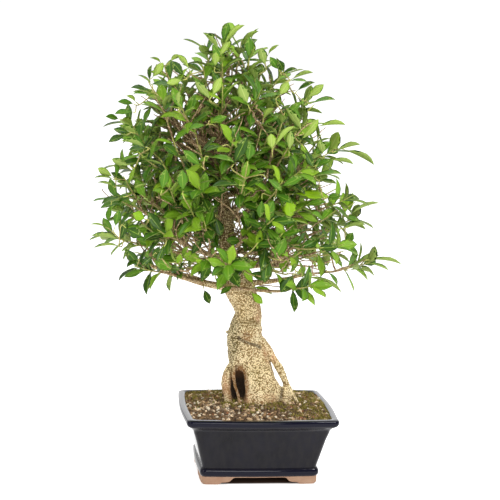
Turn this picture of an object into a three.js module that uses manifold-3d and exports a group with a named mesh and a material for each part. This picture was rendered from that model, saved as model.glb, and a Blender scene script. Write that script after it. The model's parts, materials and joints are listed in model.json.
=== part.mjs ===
// Ficus bonsai in a glazed rectangular pot, millimetres, +Z up.
// The origin is on the surface it stands on, under the centre of the whole plant and pot.
// Front is -Y. Everything is first laid out round the centre of the pot, then moved.

import * as THREE from 'three';
import { mergeVertices } from 'three/addons/utils/BufferGeometryUtils.js';
import Module from 'manifold-3d';

// Pot
const rimWidth = 262;
const rimDepth = 217;
const potHeight = 117.5;
const footInset = 31;
const rimFlat = 12.5;
const sideBow = 4.5;
const frontBow = 5.5;
const cornerRadius = 9;
const floorTop = 24;
const floorUnder = 15;
const footHeight = 15;
const footWall = 15;
const apronWidth = 137;
const apronDepth = 94;
const drainHoleRadius = 11;
const drainHoleX = 48;
const screenThickness = 1.2;

// Soil
const soilAtRim = 113.5;
const moundRise = 13.5;
const moundCentre = [2, 24];
const moundSpread = [78, 62];
const grainRelief = 1.7;
const grainStep = 20;

// Gap left where two pieces meet
const gap = 0.35;

// Facets: sides and steps of each kind of wood
const trunkSides = 12;
const trunkSteps = 22;
const rootSides = 6;
const thinRootSides = 4;
const limbSides = 5;
const limbSteps = 3;
const branchSides = 3;
const branchSteps = 2;

// Trunk: x, y, z and radius, from the buried end to the top of the leader
const trunkLine = [
  [2, 25, 66, 27],
  [2, 24, 90, 40],
  [1, 24, 108, 43],
  [0, 24, 122, 42],
  [-3, 24, 144, 40],
  [-6, 24, 162, 37.5],
  [-9, 24, 179, 36],
  [-14, 24, 197, 33.5],
  [-18, 24, 213, 32.5],
  [-21, 24, 228, 31],
  [-21, 23, 240, 28],
  [-18, 23, 256, 24.5],
  [-15.5, 22, 271, 22.3],
  [-18, 22, 283, 22.5],
  [-25, 21, 298, 24.5],
  [-33, 20, 314, 25],
  [-40, 20, 331, 22],
  [-48, 19, 347, 17.5],
  [-54, 18, 362, 14.5],
  [-57, 17, 378, 12.5],
  [-57, 16, 405, 12],
  [-60, 15, 437, 11.7],
  [-67, 14, 468, 11],
  [-70, 13, 500, 9.5],
  [-73, 11, 540, 7.5],
  [-70, 10, 590, 5.2],
  [-66, 11, 640, 3.8],
  [-65, 12, 692, 2.2],
];

// Roots above the soil: points as x, y, z and radius
const roots = {
  aerial: [[-8, 14, 236, 8], [8, 12, 222, 8], [23, 10, 207, 6.5], [35, 9, 191, 5.8], [45, 9, 174, 5.6],
    [52, 10, 158, 5.6], [56, 11, 141, 6], [59, 12, 124, 7.5], [62, 12, 98, 8]],
  aerialFork: [[54, 10, 150, 4], [64, 6, 134, 3.4], [72, 3, 118, 3], [76, 2, 100, 2.6]],
  aerialFront: [[55, 9, 146, 4], [52, -2, 130, 3.2], [53, -9, 116, 3], [53, -12, 100, 2.6]],
  leftLobe: [[-30, 16, 190, 9], [-42, 12, 172, 10], [-46, 10, 154, 10.5], [-46, 8, 136, 10],
    [-45, 6, 118, 9.5], [-46, 4, 96, 8]],
  thinRoot: [[-26, -6, 188, 3.4], [-26, -14, 172, 2.9], [-25, -17, 154, 2.8], [-23, -19, 138, 3],
    [-19, -22, 122, 3], [-17, -23, 102, 2.6]],
  innerRoot: [[-12, -14, 158, 4], [-15, -17, 140, 3.6], [-13, -20, 124, 3.6], [-10, -22, 102, 3]],
  rightFlare: [[16, 6, 146, 14], [30, 4, 132, 13], [39, 4, 118, 12], [43, 4, 98, 10]],
  frontFlare: [[2, -2, 140, 15], [6, -10, 124, 12], [8, -14, 106, 10]],
  backFlare: [[-10, 46, 138, 14], [-16, 58, 120, 10], [-20, 64, 100, 8]],
};

const thinRoots = ['aerialFork', 'aerialFront', 'thinRoot', 'innerRoot'];

// Hollow between the left lobe and the trunk, and the bulge that overhangs the crease
const hollowCentre = [-22, -9, 150];
const hollowRadii = [11, 23, 31];
const bulgeCentre = [-15, 10, 247];
const bulgeRadii = [23.5, 21, 19];

// Limbs: height on the trunk, bearing in degrees from +X towards +Y, reach and height of the tip, radius
const limbs = [
  [316, 184, 150, 352, 7.5],
  [322, 350, 118, 345, 6],
  [344, 262, 112, 372, 5.5],
  [352, 306, 128, 384, 5.5],
  [360, 222, 132, 390, 5.5],
  [348, 95, 120, 376, 5.5],
  [366, 140, 132, 394, 5.5],
  [372, 42, 132, 390, 5.5],
  [430, 172, 136, 472, 5.5],
  [438, 8, 136, 466, 5.5],
  [446, 285, 112, 484, 5],
  [455, 75, 112, 484, 5],
  [466, 235, 112, 508, 5],
  [474, 330, 112, 506, 5],
  [482, 120, 112, 514, 5],
  [530, 163, 92, 612, 5],
  [536, 12, 82, 602, 5],
  [542, 268, 70, 618, 4.5],
  [548, 92, 72, 622, 4.5],
];

const limbBend = 0.06;
const limbTaper = 0.62;

// Crown outline: height, then its left and right edge as the front view shows them
const crownOutline = [
  [300, -50, 90],
  [330, -145, 165],
  [350, -225, 215],
  [370, -272, 228],
  [400, -290, 205],
  [460, -286, 198],
  [520, -276, 176],
  [570, -268, 138],
  [620, -256, 120],
  [665, -228, 102],
  [692, -200, 62],
  [715, -155, 22],
  [745, -112, -22],
  [790, -74, -58],
];
const crownDepthShare = 0.88;
const crownY = 12;

// Leafy twigs, spread over the crown by the golden angle. A crowding above 1 sets more of them
// low, where the crown is wide.
const sprayCount = 45;
const lowestSpray = 349;
const highestSpray = 771;
const lowCrowding = 1.12;
const firstBearing = 156;
const goldenAngle = 137.508;
const heartLift = 170;
const heartShare = 0.62;
const lowestHeart = 330;
const highestHeart = 640;
const upturn = 0.4;
const thickestBranch = 3.2;
const branchEnd = 1.8;
const twigLength = 46;
const twigRadius = 1.5;
const leavesPerSpray = 9;
const leafLengths = [37, 45];
const leafLeans = [66, 26];
const leanSpread = 12;
const leafDroops = [3, 7];
const faceUp = 0.3;
const twigSag = 0.04;
const twigTaper = 0.35;
const leafShape = 0.42;
const leafThickness = 0.8;
const leafReach = 30;
const budLength = 8;
const seed = 20;

// A blade as shares of its length and width, from its stalk to its tip
const bladeStations = [[0.03, 0.1], [0.36, 0.78], [0.68, 0.95], [1, 0]];

const wasm = await Module();
wasm.setup();

// Repeatable random numbers from 0 to 1
function makeRandom(start) {
  let state = start;
  return () => {
    state = (state + 0x6d2b79f5) | 0;
    let t = Math.imul(state ^ (state >>> 15), 1 | state);
    t = (t + Math.imul(t ^ (t >>> 7), 61 | t)) ^ t;
    return ((t ^ (t >>> 14)) >>> 0) / 4294967296;
  };
}

// A closed geometry as a solid, with its shared vertices merged
function solidOf(geometry) {
  const bare = geometry.index ? geometry.clone() : geometry;
  bare.deleteAttribute('normal');
  bare.deleteAttribute('uv');
  const merged = mergeVertices(bare, 1e-4);
  const index = Array.from(merged.index.array);
  const triVerts = [];
  for (let i = 0; i < index.length; i += 3) {
    const [a, b, c] = index.slice(i, i + 3);
    if (a !== b && b !== c && c !== a) triVerts.push(a, b, c);
  }
  const mesh = new wasm.Mesh({
    numProp: 3,
    vertProperties: new Float32Array(merged.attributes.position.array),
    triVerts: new Uint32Array(triVerts),
  });
  return new wasm.Manifold(mesh);
}

function geometryOf(solid) {
  const { vertProperties, triVerts } = solid.getMesh();
  const geometry = new THREE.BufferGeometry();
  geometry.setAttribute('position', new THREE.BufferAttribute(new Float32Array(vertProperties), 3));
  geometry.setIndex(new THREE.BufferAttribute(new Uint32Array(triVerts), 1));
  return geometry;
}

function joined(solids) {
  return solids.reduce((whole, next) => whole.add(next));
}

// The largest connected body of a solid, so that no loose scrap is kept
function mainBody(solid) {
  const bodies = solid.decompose();
  return bodies.reduce((best, next) => (next.volume() > best.volume() ? next : best));
}

function vector(point) {
  return new THREE.Vector3(point[0], point[1], point[2]);
}

// A tube steeper than this share of its length is turned by the X axis, any other by the Z axis
const steep = 0.8;

function curveThrough(points) {
  return new THREE.CatmullRomCurve3(points.map(vector), false, 'catmullrom', 0.5);
}

// A round tube that follows points of x, y, z and radius, closed at both ends
function tube(points, sides, steps, grow = 0) {
  const curve = curveThrough(points);
  const geometry = new THREE.CylinderGeometry(1, 1, 1, sides, steps);
  const position = geometry.attributes.position;
  const along = vector(points[points.length - 1]).sub(vector(points[0]));
  const reference = Math.abs(along.z) > steep * along.length() ? new THREE.Vector3(1, 0, 0)
    : new THREE.Vector3(0, 0, 1);
  for (let i = 0; i < position.count; i += 1) {
    const t = position.getY(i) + 0.5;
    const spot = curve.getPoint(t);
    const direction = curve.getTangent(t);
    const across = new THREE.Vector3().crossVectors(direction, reference).normalize();
    const up = new THREE.Vector3().crossVectors(across, direction);
    const radius = blend(points.map((point) => point[3]), t) + grow;
    spot.addScaledVector(direction, (t - 0.5) * 2 * grow);
    spot.addScaledVector(across, position.getX(i) * radius);
    spot.addScaledVector(up, position.getZ(i) * radius);
    position.setXYZ(i, spot.x, spot.y, spot.z);
  }
  return outward(geometry);
}

// Turns every face round if a mapped geometry came out inside out
function outward(geometry) {
  const solid = solidOf(geometry);
  if (solid.volume() > 0) return solid;
  const index = geometry.index.array;
  for (let i = 0; i < index.length; i += 3) [index[i], index[i + 1]] = [index[i + 1], index[i]];
  return solidOf(geometry);
}

// The value at t, from 0 to 1, of evenly spaced numbers
function blend(values, t) {
  const place = Math.min(Math.max(t, 0), 1) * (values.length - 1);
  const low = Math.min(Math.floor(place), values.length - 2);
  return values[low] + (values[low + 1] - values[low]) * (place - low);
}

function ellipsoid(centre, radii) {
  const ball = new THREE.IcosahedronGeometry(1, 1);
  ball.scale(radii[0], radii[1], radii[2]);
  ball.translate(centre[0], centre[1], centre[2]);
  return solidOf(ball);
}

// Pot

// Points round the pot's plan: bowed sides and rounded corners, drawn in by an inset
function potPlan(inset) {
  const halfX = rimWidth / 2 - inset;
  const halfY = rimDepth / 2 - inset;
  const bowShare = 1 - inset / (2 * footInset);
  const points = [];
  const corners = [[1, -1, -90], [1, 1, 0], [-1, 1, 90], [-1, -1, 180]];
  corners.forEach(([signX, signY, startAngle], corner) => {
    const cornerX = signX * (halfX - sideBow * bowShare - cornerRadius);
    const cornerY = signY * (halfY - frontBow * bowShare - cornerRadius);
    for (let step = 0; step <= 2; step += 1) {
      const angle = THREE.MathUtils.degToRad(startAngle + 45 * step);
      points.push([cornerX + cornerRadius * Math.cos(angle), cornerY + cornerRadius * Math.sin(angle)]);
    }
    const last = points[points.length - 1];
    const next = corners[(corner + 1) % 4];
    const onSide = corner % 2 === 0;
    const bow = (onSide ? sideBow : frontBow) * bowShare;
    for (const share of [0.3, 0.7]) {
      const swell = bow * Math.sin(Math.PI * share);
      if (onSide) {
        const endY = next[1] * (halfY - frontBow * bowShare - cornerRadius);
        points.push([last[0] + signX * swell, last[1] + (endY - last[1]) * share]);
      } else {
        const endX = next[0] * (halfX - sideBow * bowShare - cornerRadius);
        points.push([last[0] + (endX - last[0]) * share, last[1] + signY * swell]);
      }
    }
  });
  return points;
}

// A closed solid swept round the pot's plan, from rows of inset and height.
// An inset of null puts the row on the middle axis.
function potSolid(rows) {
  const sides = potPlan(0).length;
  const profile = rows.map(([inset, height]) => new THREE.Vector2(inset === null ? 0 : 1, height));
  const geometry = new THREE.LatheGeometry(profile, sides);
  const position = geometry.attributes.position;
  for (let i = 0; i < position.count; i += 1) {
    const [inset, height] = rows[i % rows.length];
    const side = Math.floor(i / rows.length) % sides;
    const [x, y] = inset === null ? [0, 0] : potPlan(inset)[side];
    position.setXYZ(i, x, y, height);
  }
  return outward(geometry);
}

// The inside of the pot, drawn in by a clearance, between two heights
const innerWall = [
  [footInset + 9, floorTop],
  [footInset + 5, 34],
  [rimFlat, potHeight - 4],
];

function potInside(clearance, floor, top) {
  const rows = innerWall.map(([inset, height]) => [inset + clearance, height]);
  rows[0][1] = floor;
  rows.push([rimFlat + clearance, top]);
  return potSolid([[null, floor], ...rows, [null, top]]);
}

// An opening between two feet, as the outline of the apron, run through the pot from side to side
function apronCut(width, crest) {
  const shape = new THREE.Shape();
  const half = width / 2;
  const ledge = 0.34 * crest;
  const shoulder = 0.68 * crest;
  shape.moveTo(-half, -1);
  shape.lineTo(half, -1);
  shape.lineTo(half, 0);
  shape.lineTo(half - 5, ledge);
  shape.lineTo(half - 13, ledge + 0.6);
  shape.quadraticCurveTo(half - 19, ledge + 0.8, half - 21, shoulder);
  shape.quadraticCurveTo(half - 23, crest, half - 29, crest);
  shape.lineTo(-half + 29, crest);
  shape.quadraticCurveTo(-half + 23, crest, -half + 21, shoulder);
  shape.quadraticCurveTo(-half + 19, ledge + 0.8, -half + 13, ledge + 0.6);
  shape.lineTo(-half + 5, ledge);
  shape.lineTo(-half, 0);
  shape.closePath();
  const geometry = new THREE.ExtrudeGeometry(shape, { depth: 300, bevelEnabled: false, curveSegments: 2 });
  geometry.translate(0, 0, -150);
  geometry.rotateX(Math.PI / 2);
  return geometry;
}

function makePot() {
  const outside = potSolid([
    [null, floorUnder],
    [footInset + footWall, floorUnder],
    [footInset + footWall, 0],
    [footInset + 3.5, 0],
    [footInset + 0.5, 3],
    [footInset + 0.5, footHeight],
    [footInset - 1.5, footHeight + 2],
    [footInset - 2.2, footHeight + 7],
    [footInset - 0.5, footHeight + 12],
    [footInset + 2, footHeight + 14],
    [footInset - 1, 40],
    [19.5, 78],
    [14.5, 92],
    [13.5, 96],
    [7, 103],
    [2, 106.5],
    [0, 110],
    [0, 114.5],
    [2.5, potHeight],
    [rimFlat - 1.5, potHeight],
    [rimFlat, potHeight - 1.5],
    ...innerWall.slice().reverse(),
    [null, floorTop],
  ]);
  const crest = footHeight - 1.8;
  const frontCut = apronCut(apronWidth, crest);
  const sideCut = apronCut(apronDepth, crest);
  sideCut.rotateZ(Math.PI / 2);
  const holes = [-1, 1].map((side) => {
    const hole = new THREE.CylinderGeometry(drainHoleRadius, drainHoleRadius, 40, 12);
    hole.rotateX(Math.PI / 2);
    hole.translate(side * drainHoleX, 0, floorTop - 8);
    return solidOf(hole);
  });
  return outside.subtract(solidOf(frontCut)).subtract(solidOf(sideCut)).subtract(joined(holes));
}

// A square of plastic mesh that lies over a drainage hole
function makeScreen(side) {
  const size = 34;
  const openings = 2;
  const bar = 3.2;
  const pitch = size / openings;
  const centreZ = floorTop + gap + screenThickness / 2;
  let sheet = placedBox([size, size, screenThickness], [side * drainHoleX, 0, centreZ]);
  for (let column = 0; column < openings; column += 1) {
    for (let row = 0; row < openings; row += 1) {
      const x = side * drainHoleX + (column + 0.5) * pitch - size / 2;
      const y = (row + 0.5) * pitch - size / 2;
      sheet = sheet.subtract(placedBox([pitch - bar, pitch - bar, 4 * screenThickness], [x, y, centreZ]));
    }
  }
  return sheet;
}

function placedBox(size, centre) {
  const box = new THREE.BoxGeometry(size[0], size[1], size[2]);
  box.translate(centre[0], centre[1], centre[2]);
  return solidOf(box);
}

// Trunk, roots and limbs

function trunkBody(grow) {
  return tube(trunkLine, trunkSides, trunkSteps, grow);
}

function rootTube(name, grow) {
  const sides = thinRoots.includes(name) ? thinRootSides : rootSides;
  return tube(roots[name], sides, roots[name].length - 1, grow);
}

// The trunk's centre at a height
function trunkAt(height) {
  const above = Math.max(1, trunkLine.findIndex((point) => point[2] >= height));
  const [low, high] = [trunkLine[above - 1], trunkLine[above]];
  const share = (height - low[2]) / (high[2] - low[2]);
  return vector(low).lerp(vector(high), share);
}

// Points along a limb, which leaves the trunk level and rises towards its tip
function limbLine([height, bearing, reach, tipHeight, radius]) {
  const start = trunkAt(height);
  const angle = THREE.MathUtils.degToRad(bearing);
  const out = new THREE.Vector3(Math.cos(angle), Math.sin(angle), 0);
  const side = new THREE.Vector3(-out.y, out.x, 0);
  const rise = tipHeight - height;
  const bend = limbBend * reach * Math.sin(bearing * 3 + height);
  return [0, 0.3, 0.65, 1].map((share) => {
    const spot = start.clone().addScaledVector(out, reach * share);
    spot.addScaledVector(side, bend * Math.sin(1.4 * Math.PI * share));
    spot.z += rise * (0.35 * share + 0.65 * share * share);
    return [spot.x, spot.y, spot.z, radius * (1 - limbTaper * share)];
  });
}

// Crown: its centre and half width at a height
function crownAt(height) {
  const above = Math.max(1, crownOutline.findIndex((row) => row[0] >= height));
  const [low, high] = [crownOutline[above - 1], crownOutline[above]];
  const share = (height - low[0]) / (high[0] - low[0]);
  const left = low[1] + (high[1] - low[1]) * share;
  const right = low[2] + (high[2] - low[2]) * share;
  return { x: (left + right) / 2, half: (right - left) / 2 };
}

// Where each leafy twig starts and which way it points: out from the heart of the crown
function sprayPlan(random) {
  const plan = [];
  for (let k = 0; k < sprayCount; k += 1) {
    const share = ((k + 0.5) / sprayCount) ** lowCrowding;
    const height = lowestSpray + (highestSpray - lowestSpray) * share;
    const bearing = THREE.MathUtils.degToRad(firstBearing + goldenAngle * k);
    const { x, half } = crownAt(height);
    const reach = half * (0.95 + 0.07 * random());
    const depth = reach * crownDepthShare;
    const tip = new THREE.Vector3(x + reach * Math.cos(bearing), crownY + depth * Math.sin(bearing), height);
    const heart = trunkAt(THREE.MathUtils.clamp(heartLift + heartShare * height, lowestHeart, highestHeart));
    const out = tip.clone().sub(heart).normalize();
    out.z += upturn;
    out.normalize();
    const end = tip.clone().addScaledVector(out, -leafReach);
    const start = end.clone().addScaledVector(out, -twigLength);
    plan.push({ start, out, end });
  }
  return plan;
}

// The point of the limbs, or of the leader, that a twig branches from: near it and in line with it
function nearestWood(lines, spray) {
  let best = { cost: Infinity };
  for (const line of lines) {
    const curve = curveThrough(line);
    for (const share of [0.3, 0.45, 0.6, 0.75, 0.9, 1]) {
      const spot = curve.getPoint(share);
      const reach = spray.start.clone().sub(spot);
      const turn = reach.angleTo(spray.out);
      const cost = (reach.length() + 25) * (0.6 + 1.6 * turn * turn);
      if (cost < best.cost) best = { spot, cost, radius: blend(line.map((point) => point[3]), share) };
    }
  }
  return best;
}

// A side branch from a limb to the foot of a twig, which ends flat, a gap short of the twig
function sideBranch(wood, spray) {
  const from = wood.spot;
  const to = spray.start.clone().addScaledVector(spray.out, -gap);
  const middle = to.clone().addScaledVector(spray.out, -0.3 * from.distanceTo(to));
  const thick = Math.min(wood.radius * 0.8, thickestBranch);
  return [
    [from.x, from.y, from.z, thick],
    [middle.x, middle.y, middle.z, (thick + branchEnd) / 2],
    [to.x, to.y, to.z, branchEnd],
  ];
}

function makeTrunk(branches) {
  const bulge = ellipsoid(bulgeCentre, bulgeRadii);
  const acrossHollow = ['thinRoot', 'innerRoot'];
  const flares = Object.keys(roots).filter((name) => !acrossHollow.includes(name));
  const body = joined([trunkBody(0), bulge, ...flares.map((name) => rootTube(name, 0))]);
  const hollowed = body.subtract(ellipsoid(hollowCentre, hollowRadii));
  const wood = [
    ...acrossHollow.map((name) => rootTube(name, 0)),
    ...limbs.map((limb) => tube(limbLine(limb), limbSides, limbSteps)),
    ...branches.map((line) => tube(line, branchSides, branchSteps)),
  ];
  return mainBody(joined([hollowed, ...wood]));
}

// Leaves

// Rows of four points along a blade, upper left and right, then lower right and left.
// It points along +Y from its place and faces +Z. The last row is its tip.
function bladeRows(place, length, width, droop, grow) {
  const depth = leafThickness / 2 + grow;
  return bladeStations.map(([along, wide]) => {
    const y = along * (length + grow);
    const half = wide > 0 ? (wide * width) / 2 + grow : 0;
    const z = -droop * along * along;
    return [[-half, depth], [half, depth], [half, -depth], [-half, -depth]]
      .map(([x, lift]) => new THREE.Vector3(x, y, z + lift).applyMatrix4(place));
  });
}

// Triangles that join two rows of four points, split alike on the upper and the lower face
function joinRows(triangles, near, far) {
  for (let i = 0; i < near.length; i += 1) {
    const j = (i + 1) % near.length;
    if (i === 2) triangles.push([near[i], near[j], far[i]], [near[j], far[j], far[i]]);
    else triangles.push([near[i], near[j], far[j]], [near[i], far[j], far[i]]);
  }
}

function solidOfTriangles(triangles) {
  const geometry = new THREE.BufferGeometry();
  geometry.setFromPoints(triangles.flat());
  return solidOf(geometry);
}

// A closed blade for testing what it would cross
function bladeSolid(rows) {
  const [a, b, c, d] = rows[0];
  const triangles = [[a, c, b], [a, d, c]];
  for (let i = 1; i < rows.length; i += 1) joinRows(triangles, rows[i - 1], rows[i]);
  return solidOfTriangles(triangles);
}

// A leafy twig: a three-sided stem whose rings turn a little at each step, so that a leaf on
// every face in turn follows the golden angle. Each leaf grows out of its face of the stem.
function makeSpray(spray, random, isClear) {
  const line = twigLine(spray);
  const curve = curveThrough(line);
  const twist = THREE.MathUtils.degToRad(goldenAngle - 120);
  const third = (2 * Math.PI) / 3;
  const rings = [];
  const frames = [];
  for (let k = 0; k <= leavesPerSpray; k += 1) {
    const share = k / leavesPerSpray;
    const centre = curve.getPoint(share);
    const direction = curve.getTangent(share);
    const across = new THREE.Vector3().crossVectors(direction, new THREE.Vector3(0, 0, 1)).normalize();
    frames.push({ centre, direction, across });
    rings.push([0, 1, 2].map((corner) => {
      const outward = across.clone().applyAxisAngle(direction, twist * k + third * corner);
      return centre.clone().addScaledVector(outward, twigRadius * (1 - twigTaper * share));
    }));
  }
  const triangles = [[rings[0][0], rings[0][2], rings[0][1]]];
  const bud = curve.getPoint(1).addScaledVector(curve.getTangent(1), budLength);
  const guards = [tube(line, branchSides + 1, branchSteps, gap)];
  const bladesHere = [];
  for (let k = 0; k < leavesPerSpray; k += 1) {
    const share = (k + 0.5) / leavesPerSpray;
    const length = blend(leafLengths, random());
    const droop = blend(leafDroops, random());
    const lean = THREE.MathUtils.degToRad(blend(leafLeans, share) + leanSpread * random());
    const turn = twist * (k + 0.5) + third * ((k % 3) + 0.5);
    let grown = null;
    for (const shift of [0, 0.3, -0.3, 0.6, -0.6]) {
      if (grown) break;
      const place = leafPlace(frames[k], turn + shift, lean);
      const sizes = [length, length * leafShape, droop];
      const guard = bladeSolid(bladeRows(place, ...sizes, gap));
      const core = bladeSolid(bladeRows(place, ...sizes, gap).slice(1));
      const clearHere = bladesHere.every((other) => other.intersect(core).isEmpty());
      if (clearHere && isClear(guard)) {
        grown = bladeRows(place, ...sizes, 0).slice(1);
        guards.push(guard);
        bladesHere.push(core);
      }
    }
    for (let corner = 0; corner < 3; corner += 1) {
      const next = (corner + 1) % 3;
      const face = [rings[k + 1][next], rings[k + 1][corner], rings[k][corner], rings[k][next]];
      if (grown && corner === k % 3) {
        joinRows(triangles, face, grown[0]);
        for (let i = 1; i < grown.length; i += 1) joinRows(triangles, grown[i - 1], grown[i]);
      } else {
        triangles.push([face[0], face[1], face[2]], [face[0], face[2], face[3]]);
      }
    }
  }
  const end = rings[leavesPerSpray];
  triangles.push([end[0], end[1], bud], [end[1], end[2], bud], [end[2], end[0], bud]);
  return { solid: solidOfTriangles(triangles), guards };
}

// The place of a leaf: turned round the twig and leaning out from it
function leafPlace({ centre, direction, across }, turn, lean) {
  const side = across.clone().applyAxisAngle(direction, turn);
  const forward = direction.clone().multiplyScalar(Math.cos(lean)).addScaledVector(side, Math.sin(lean));
  const face = direction.clone().addScaledVector(new THREE.Vector3(0, 0, 1), faceUp);
  face.addScaledVector(forward, -face.dot(forward)).normalize();
  const right = new THREE.Vector3().crossVectors(forward, face);
  return new THREE.Matrix4().makeBasis(right, forward, face).setPosition(centre);
}

function twigLine(spray) {
  const middle = spray.start.clone().lerp(spray.end, 0.5);
  middle.z -= twigSag * twigLength;
  return [spray.start, middle, spray.end].map((spot) => [spot.x, spot.y, spot.z, twigRadius]);
}

// Soil

// Height of the soil at a place: a mound round the trunk with a relief of grains on it
function soilHeight(x, y) {
  const east = (x - moundCentre[0]) / moundSpread[0];
  const north = (y - moundCentre[1]) / moundSpread[1];
  const mound = moundRise * Math.exp(-east * east - north * north);
  const scatter = Math.sin(12.9898 * Math.round(x) + 78.233 * Math.round(y)) * 43758.5453;
  return soilAtRim + mound + grainRelief * (2 * (scatter - Math.floor(scatter)) - 1);
}

function makeSoil(holes) {
  const columns = Math.round(rimWidth / grainStep);
  const rows = Math.round(rimDepth / grainStep);
  const block = new THREE.BoxGeometry(rimWidth, rimDepth, potHeight, columns, rows, 1);
  const position = block.attributes.position;
  for (let i = 0; i < position.count; i += 1) {
    const onTop = position.getZ(i) > 0;
    position.setZ(i, onTop ? soilHeight(position.getX(i), position.getY(i)) : 0);
  }
  const soilBottom = floorTop + screenThickness + 2 * gap;
  const fill = solidOf(block).intersect(potInside(2 * gap, soilBottom, potHeight + moundRise + grainRelief));
  return mainBody(fill.subtract(joined(holes)));
}

// Put together

const leader = trunkLine.filter((point) => point[2] > 560);
const woodLines = [...limbs.map(limbLine), leader];
const plan = sprayPlan(makeRandom(seed));
const trunk = makeTrunk(plan.map((spray) => sideBranch(nearestWood(woodLines, spray), spray)));
const rootHoles = [trunkBody(gap), ...Object.keys(roots).map((name) => rootTube(name, gap))];
const guardsSoFar = [];

function boxesMeet(a, b) {
  const [one, two] = [a.boundingBox(), b.boundingBox()];
  return [0, 1, 2].every((axis) => one.min[axis] <= two.max[axis] && two.min[axis] <= one.max[axis]);
}

function isClear(guard) {
  if (boxesMeet(guard, trunk) && !guard.intersect(trunk).isEmpty()) return false;
  return guardsSoFar.every((other) => !boxesMeet(guard, other) || guard.intersect(other).isEmpty());
}

const sprays = plan.map((spray, k) => {
  const { solid, guards } = makeSpray(spray, makeRandom(seed + k + 1), isClear);
  guardsSoFar.push(...guards);
  return solid;
});

const looks = {
  glaze: { color: 0x17182a, roughness: 0.18, metalness: 0 },
  plastic: { color: 0x1d1f1e, roughness: 0.6, metalness: 0 },
  grains: { color: 0x77654c, roughness: 0.95, metalness: 0 },
  bark: { color: 0xa8935c, roughness: 0.9, metalness: 0 },
  leaf: { color: 0x3f7f28, roughness: 0.35, metalness: 0 },
};

const bonsai = new THREE.Group();

function addPiece(name, solid, look) {
  const mesh = new THREE.Mesh(geometryOf(solid), new THREE.MeshStandardMaterial(looks[look]));
  mesh.name = name;
  bonsai.add(mesh);
}

addPiece('pot', makePot(), 'glaze');
addPiece('drain_screen_1', makeScreen(-1), 'plastic');
addPiece('drain_screen_2', makeScreen(1), 'plastic');
addPiece('soil', makeSoil(rootHoles), 'grains');
addPiece('trunk', trunk, 'bark');
sprays.forEach((solid, k) => addPiece(`spray_${String(k + 1).padStart(2, '0')}`, solid, 'leaf'));

const box = new THREE.Box3().setFromObject(bonsai);
const centre = box.getCenter(new THREE.Vector3());
bonsai.position.set(-centre.x, -centre.y, -box.min.z);
bonsai.updateMatrixWorld(true);

export default bonsai;
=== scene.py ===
import bmesh
import bpy
import json
import math
import numpy as np
from mathutils import Matrix, Quaternion, Vector, noise

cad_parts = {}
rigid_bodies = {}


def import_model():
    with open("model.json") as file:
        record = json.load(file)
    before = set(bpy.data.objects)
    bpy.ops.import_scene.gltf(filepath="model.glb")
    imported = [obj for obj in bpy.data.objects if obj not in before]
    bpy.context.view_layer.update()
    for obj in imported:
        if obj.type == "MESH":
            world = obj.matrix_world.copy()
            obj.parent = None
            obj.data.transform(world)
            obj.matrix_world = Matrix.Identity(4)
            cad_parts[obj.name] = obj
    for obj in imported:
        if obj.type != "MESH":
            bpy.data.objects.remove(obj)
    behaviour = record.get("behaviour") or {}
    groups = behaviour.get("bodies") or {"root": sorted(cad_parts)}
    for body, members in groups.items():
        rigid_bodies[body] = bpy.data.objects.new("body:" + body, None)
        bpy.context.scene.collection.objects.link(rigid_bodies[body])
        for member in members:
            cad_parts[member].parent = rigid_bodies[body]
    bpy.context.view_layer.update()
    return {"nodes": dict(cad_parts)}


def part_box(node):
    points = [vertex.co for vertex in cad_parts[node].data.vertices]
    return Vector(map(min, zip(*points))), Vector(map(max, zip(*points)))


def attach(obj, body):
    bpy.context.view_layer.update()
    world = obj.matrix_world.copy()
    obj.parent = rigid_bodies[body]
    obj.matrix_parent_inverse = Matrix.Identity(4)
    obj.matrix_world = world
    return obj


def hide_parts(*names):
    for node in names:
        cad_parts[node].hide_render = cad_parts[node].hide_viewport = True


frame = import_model()
lowPot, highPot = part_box("pot")
potCentre = Vector(((lowPot.x + highPot.x) / 2, (lowPot.y + highPot.y) / 2, 0))
mm = 0.001
scene = bpy.context.scene
noise.seed_set(5)  # a fixed start for the crooks of the twigs, which else change with the clock
print("frame loaded")


# small helpers; lengths below are in mm from the middle of the pot, z from under its feet
def place(points):
    return np.asarray(points, float).reshape(-1, 3) * mm + np.array(potCentre)


def show(name, data):
    thing = bpy.data.objects.new(name, data)
    scene.collection.objects.link(thing)
    return thing


def discard(thing):
    bpy.data.objects.remove(thing)


def newPiece(name, verts, faces):
    mesh = bpy.data.meshes.new(name)
    mesh.from_pydata([tuple(v) for v in verts], [], [tuple(f) for f in faces])
    mesh.update()
    mesh.shade_smooth()
    return show(name, mesh)


def setNumbers(mesh, name, values, kind="FLOAT", domain="POINT"):
    field = mesh.attributes.get(name) or mesh.attributes.new(name, kind, domain)
    key = "vector" if kind == "FLOAT_VECTOR" else "value"
    kindOfNumber = np.int32 if kind == "INT" else np.float32
    field.data.foreach_set(key, np.asarray(values, kindOfNumber).ravel())


def makeRandom(state):
    def draw():
        nonlocal state
        state = (state + 0x6D2B79F5) & 0xFFFFFFFF
        t = ((state ^ (state >> 15)) * (1 | state)) & 0xFFFFFFFF
        t = ((t + (((t ^ (t >> 7)) * (61 | t)) & 0xFFFFFFFF)) & 0xFFFFFFFF) ^ t
        return ((t ^ (t >> 14)) & 0xFFFFFFFF) / 4294967296
    return draw


def blend(values, t):
    spot = min(max(t, 0), 1) * (len(values) - 1)
    low = min(int(spot), len(values) - 2)
    return values[low] + (values[low + 1] - values[low]) * (spot - low)


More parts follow.
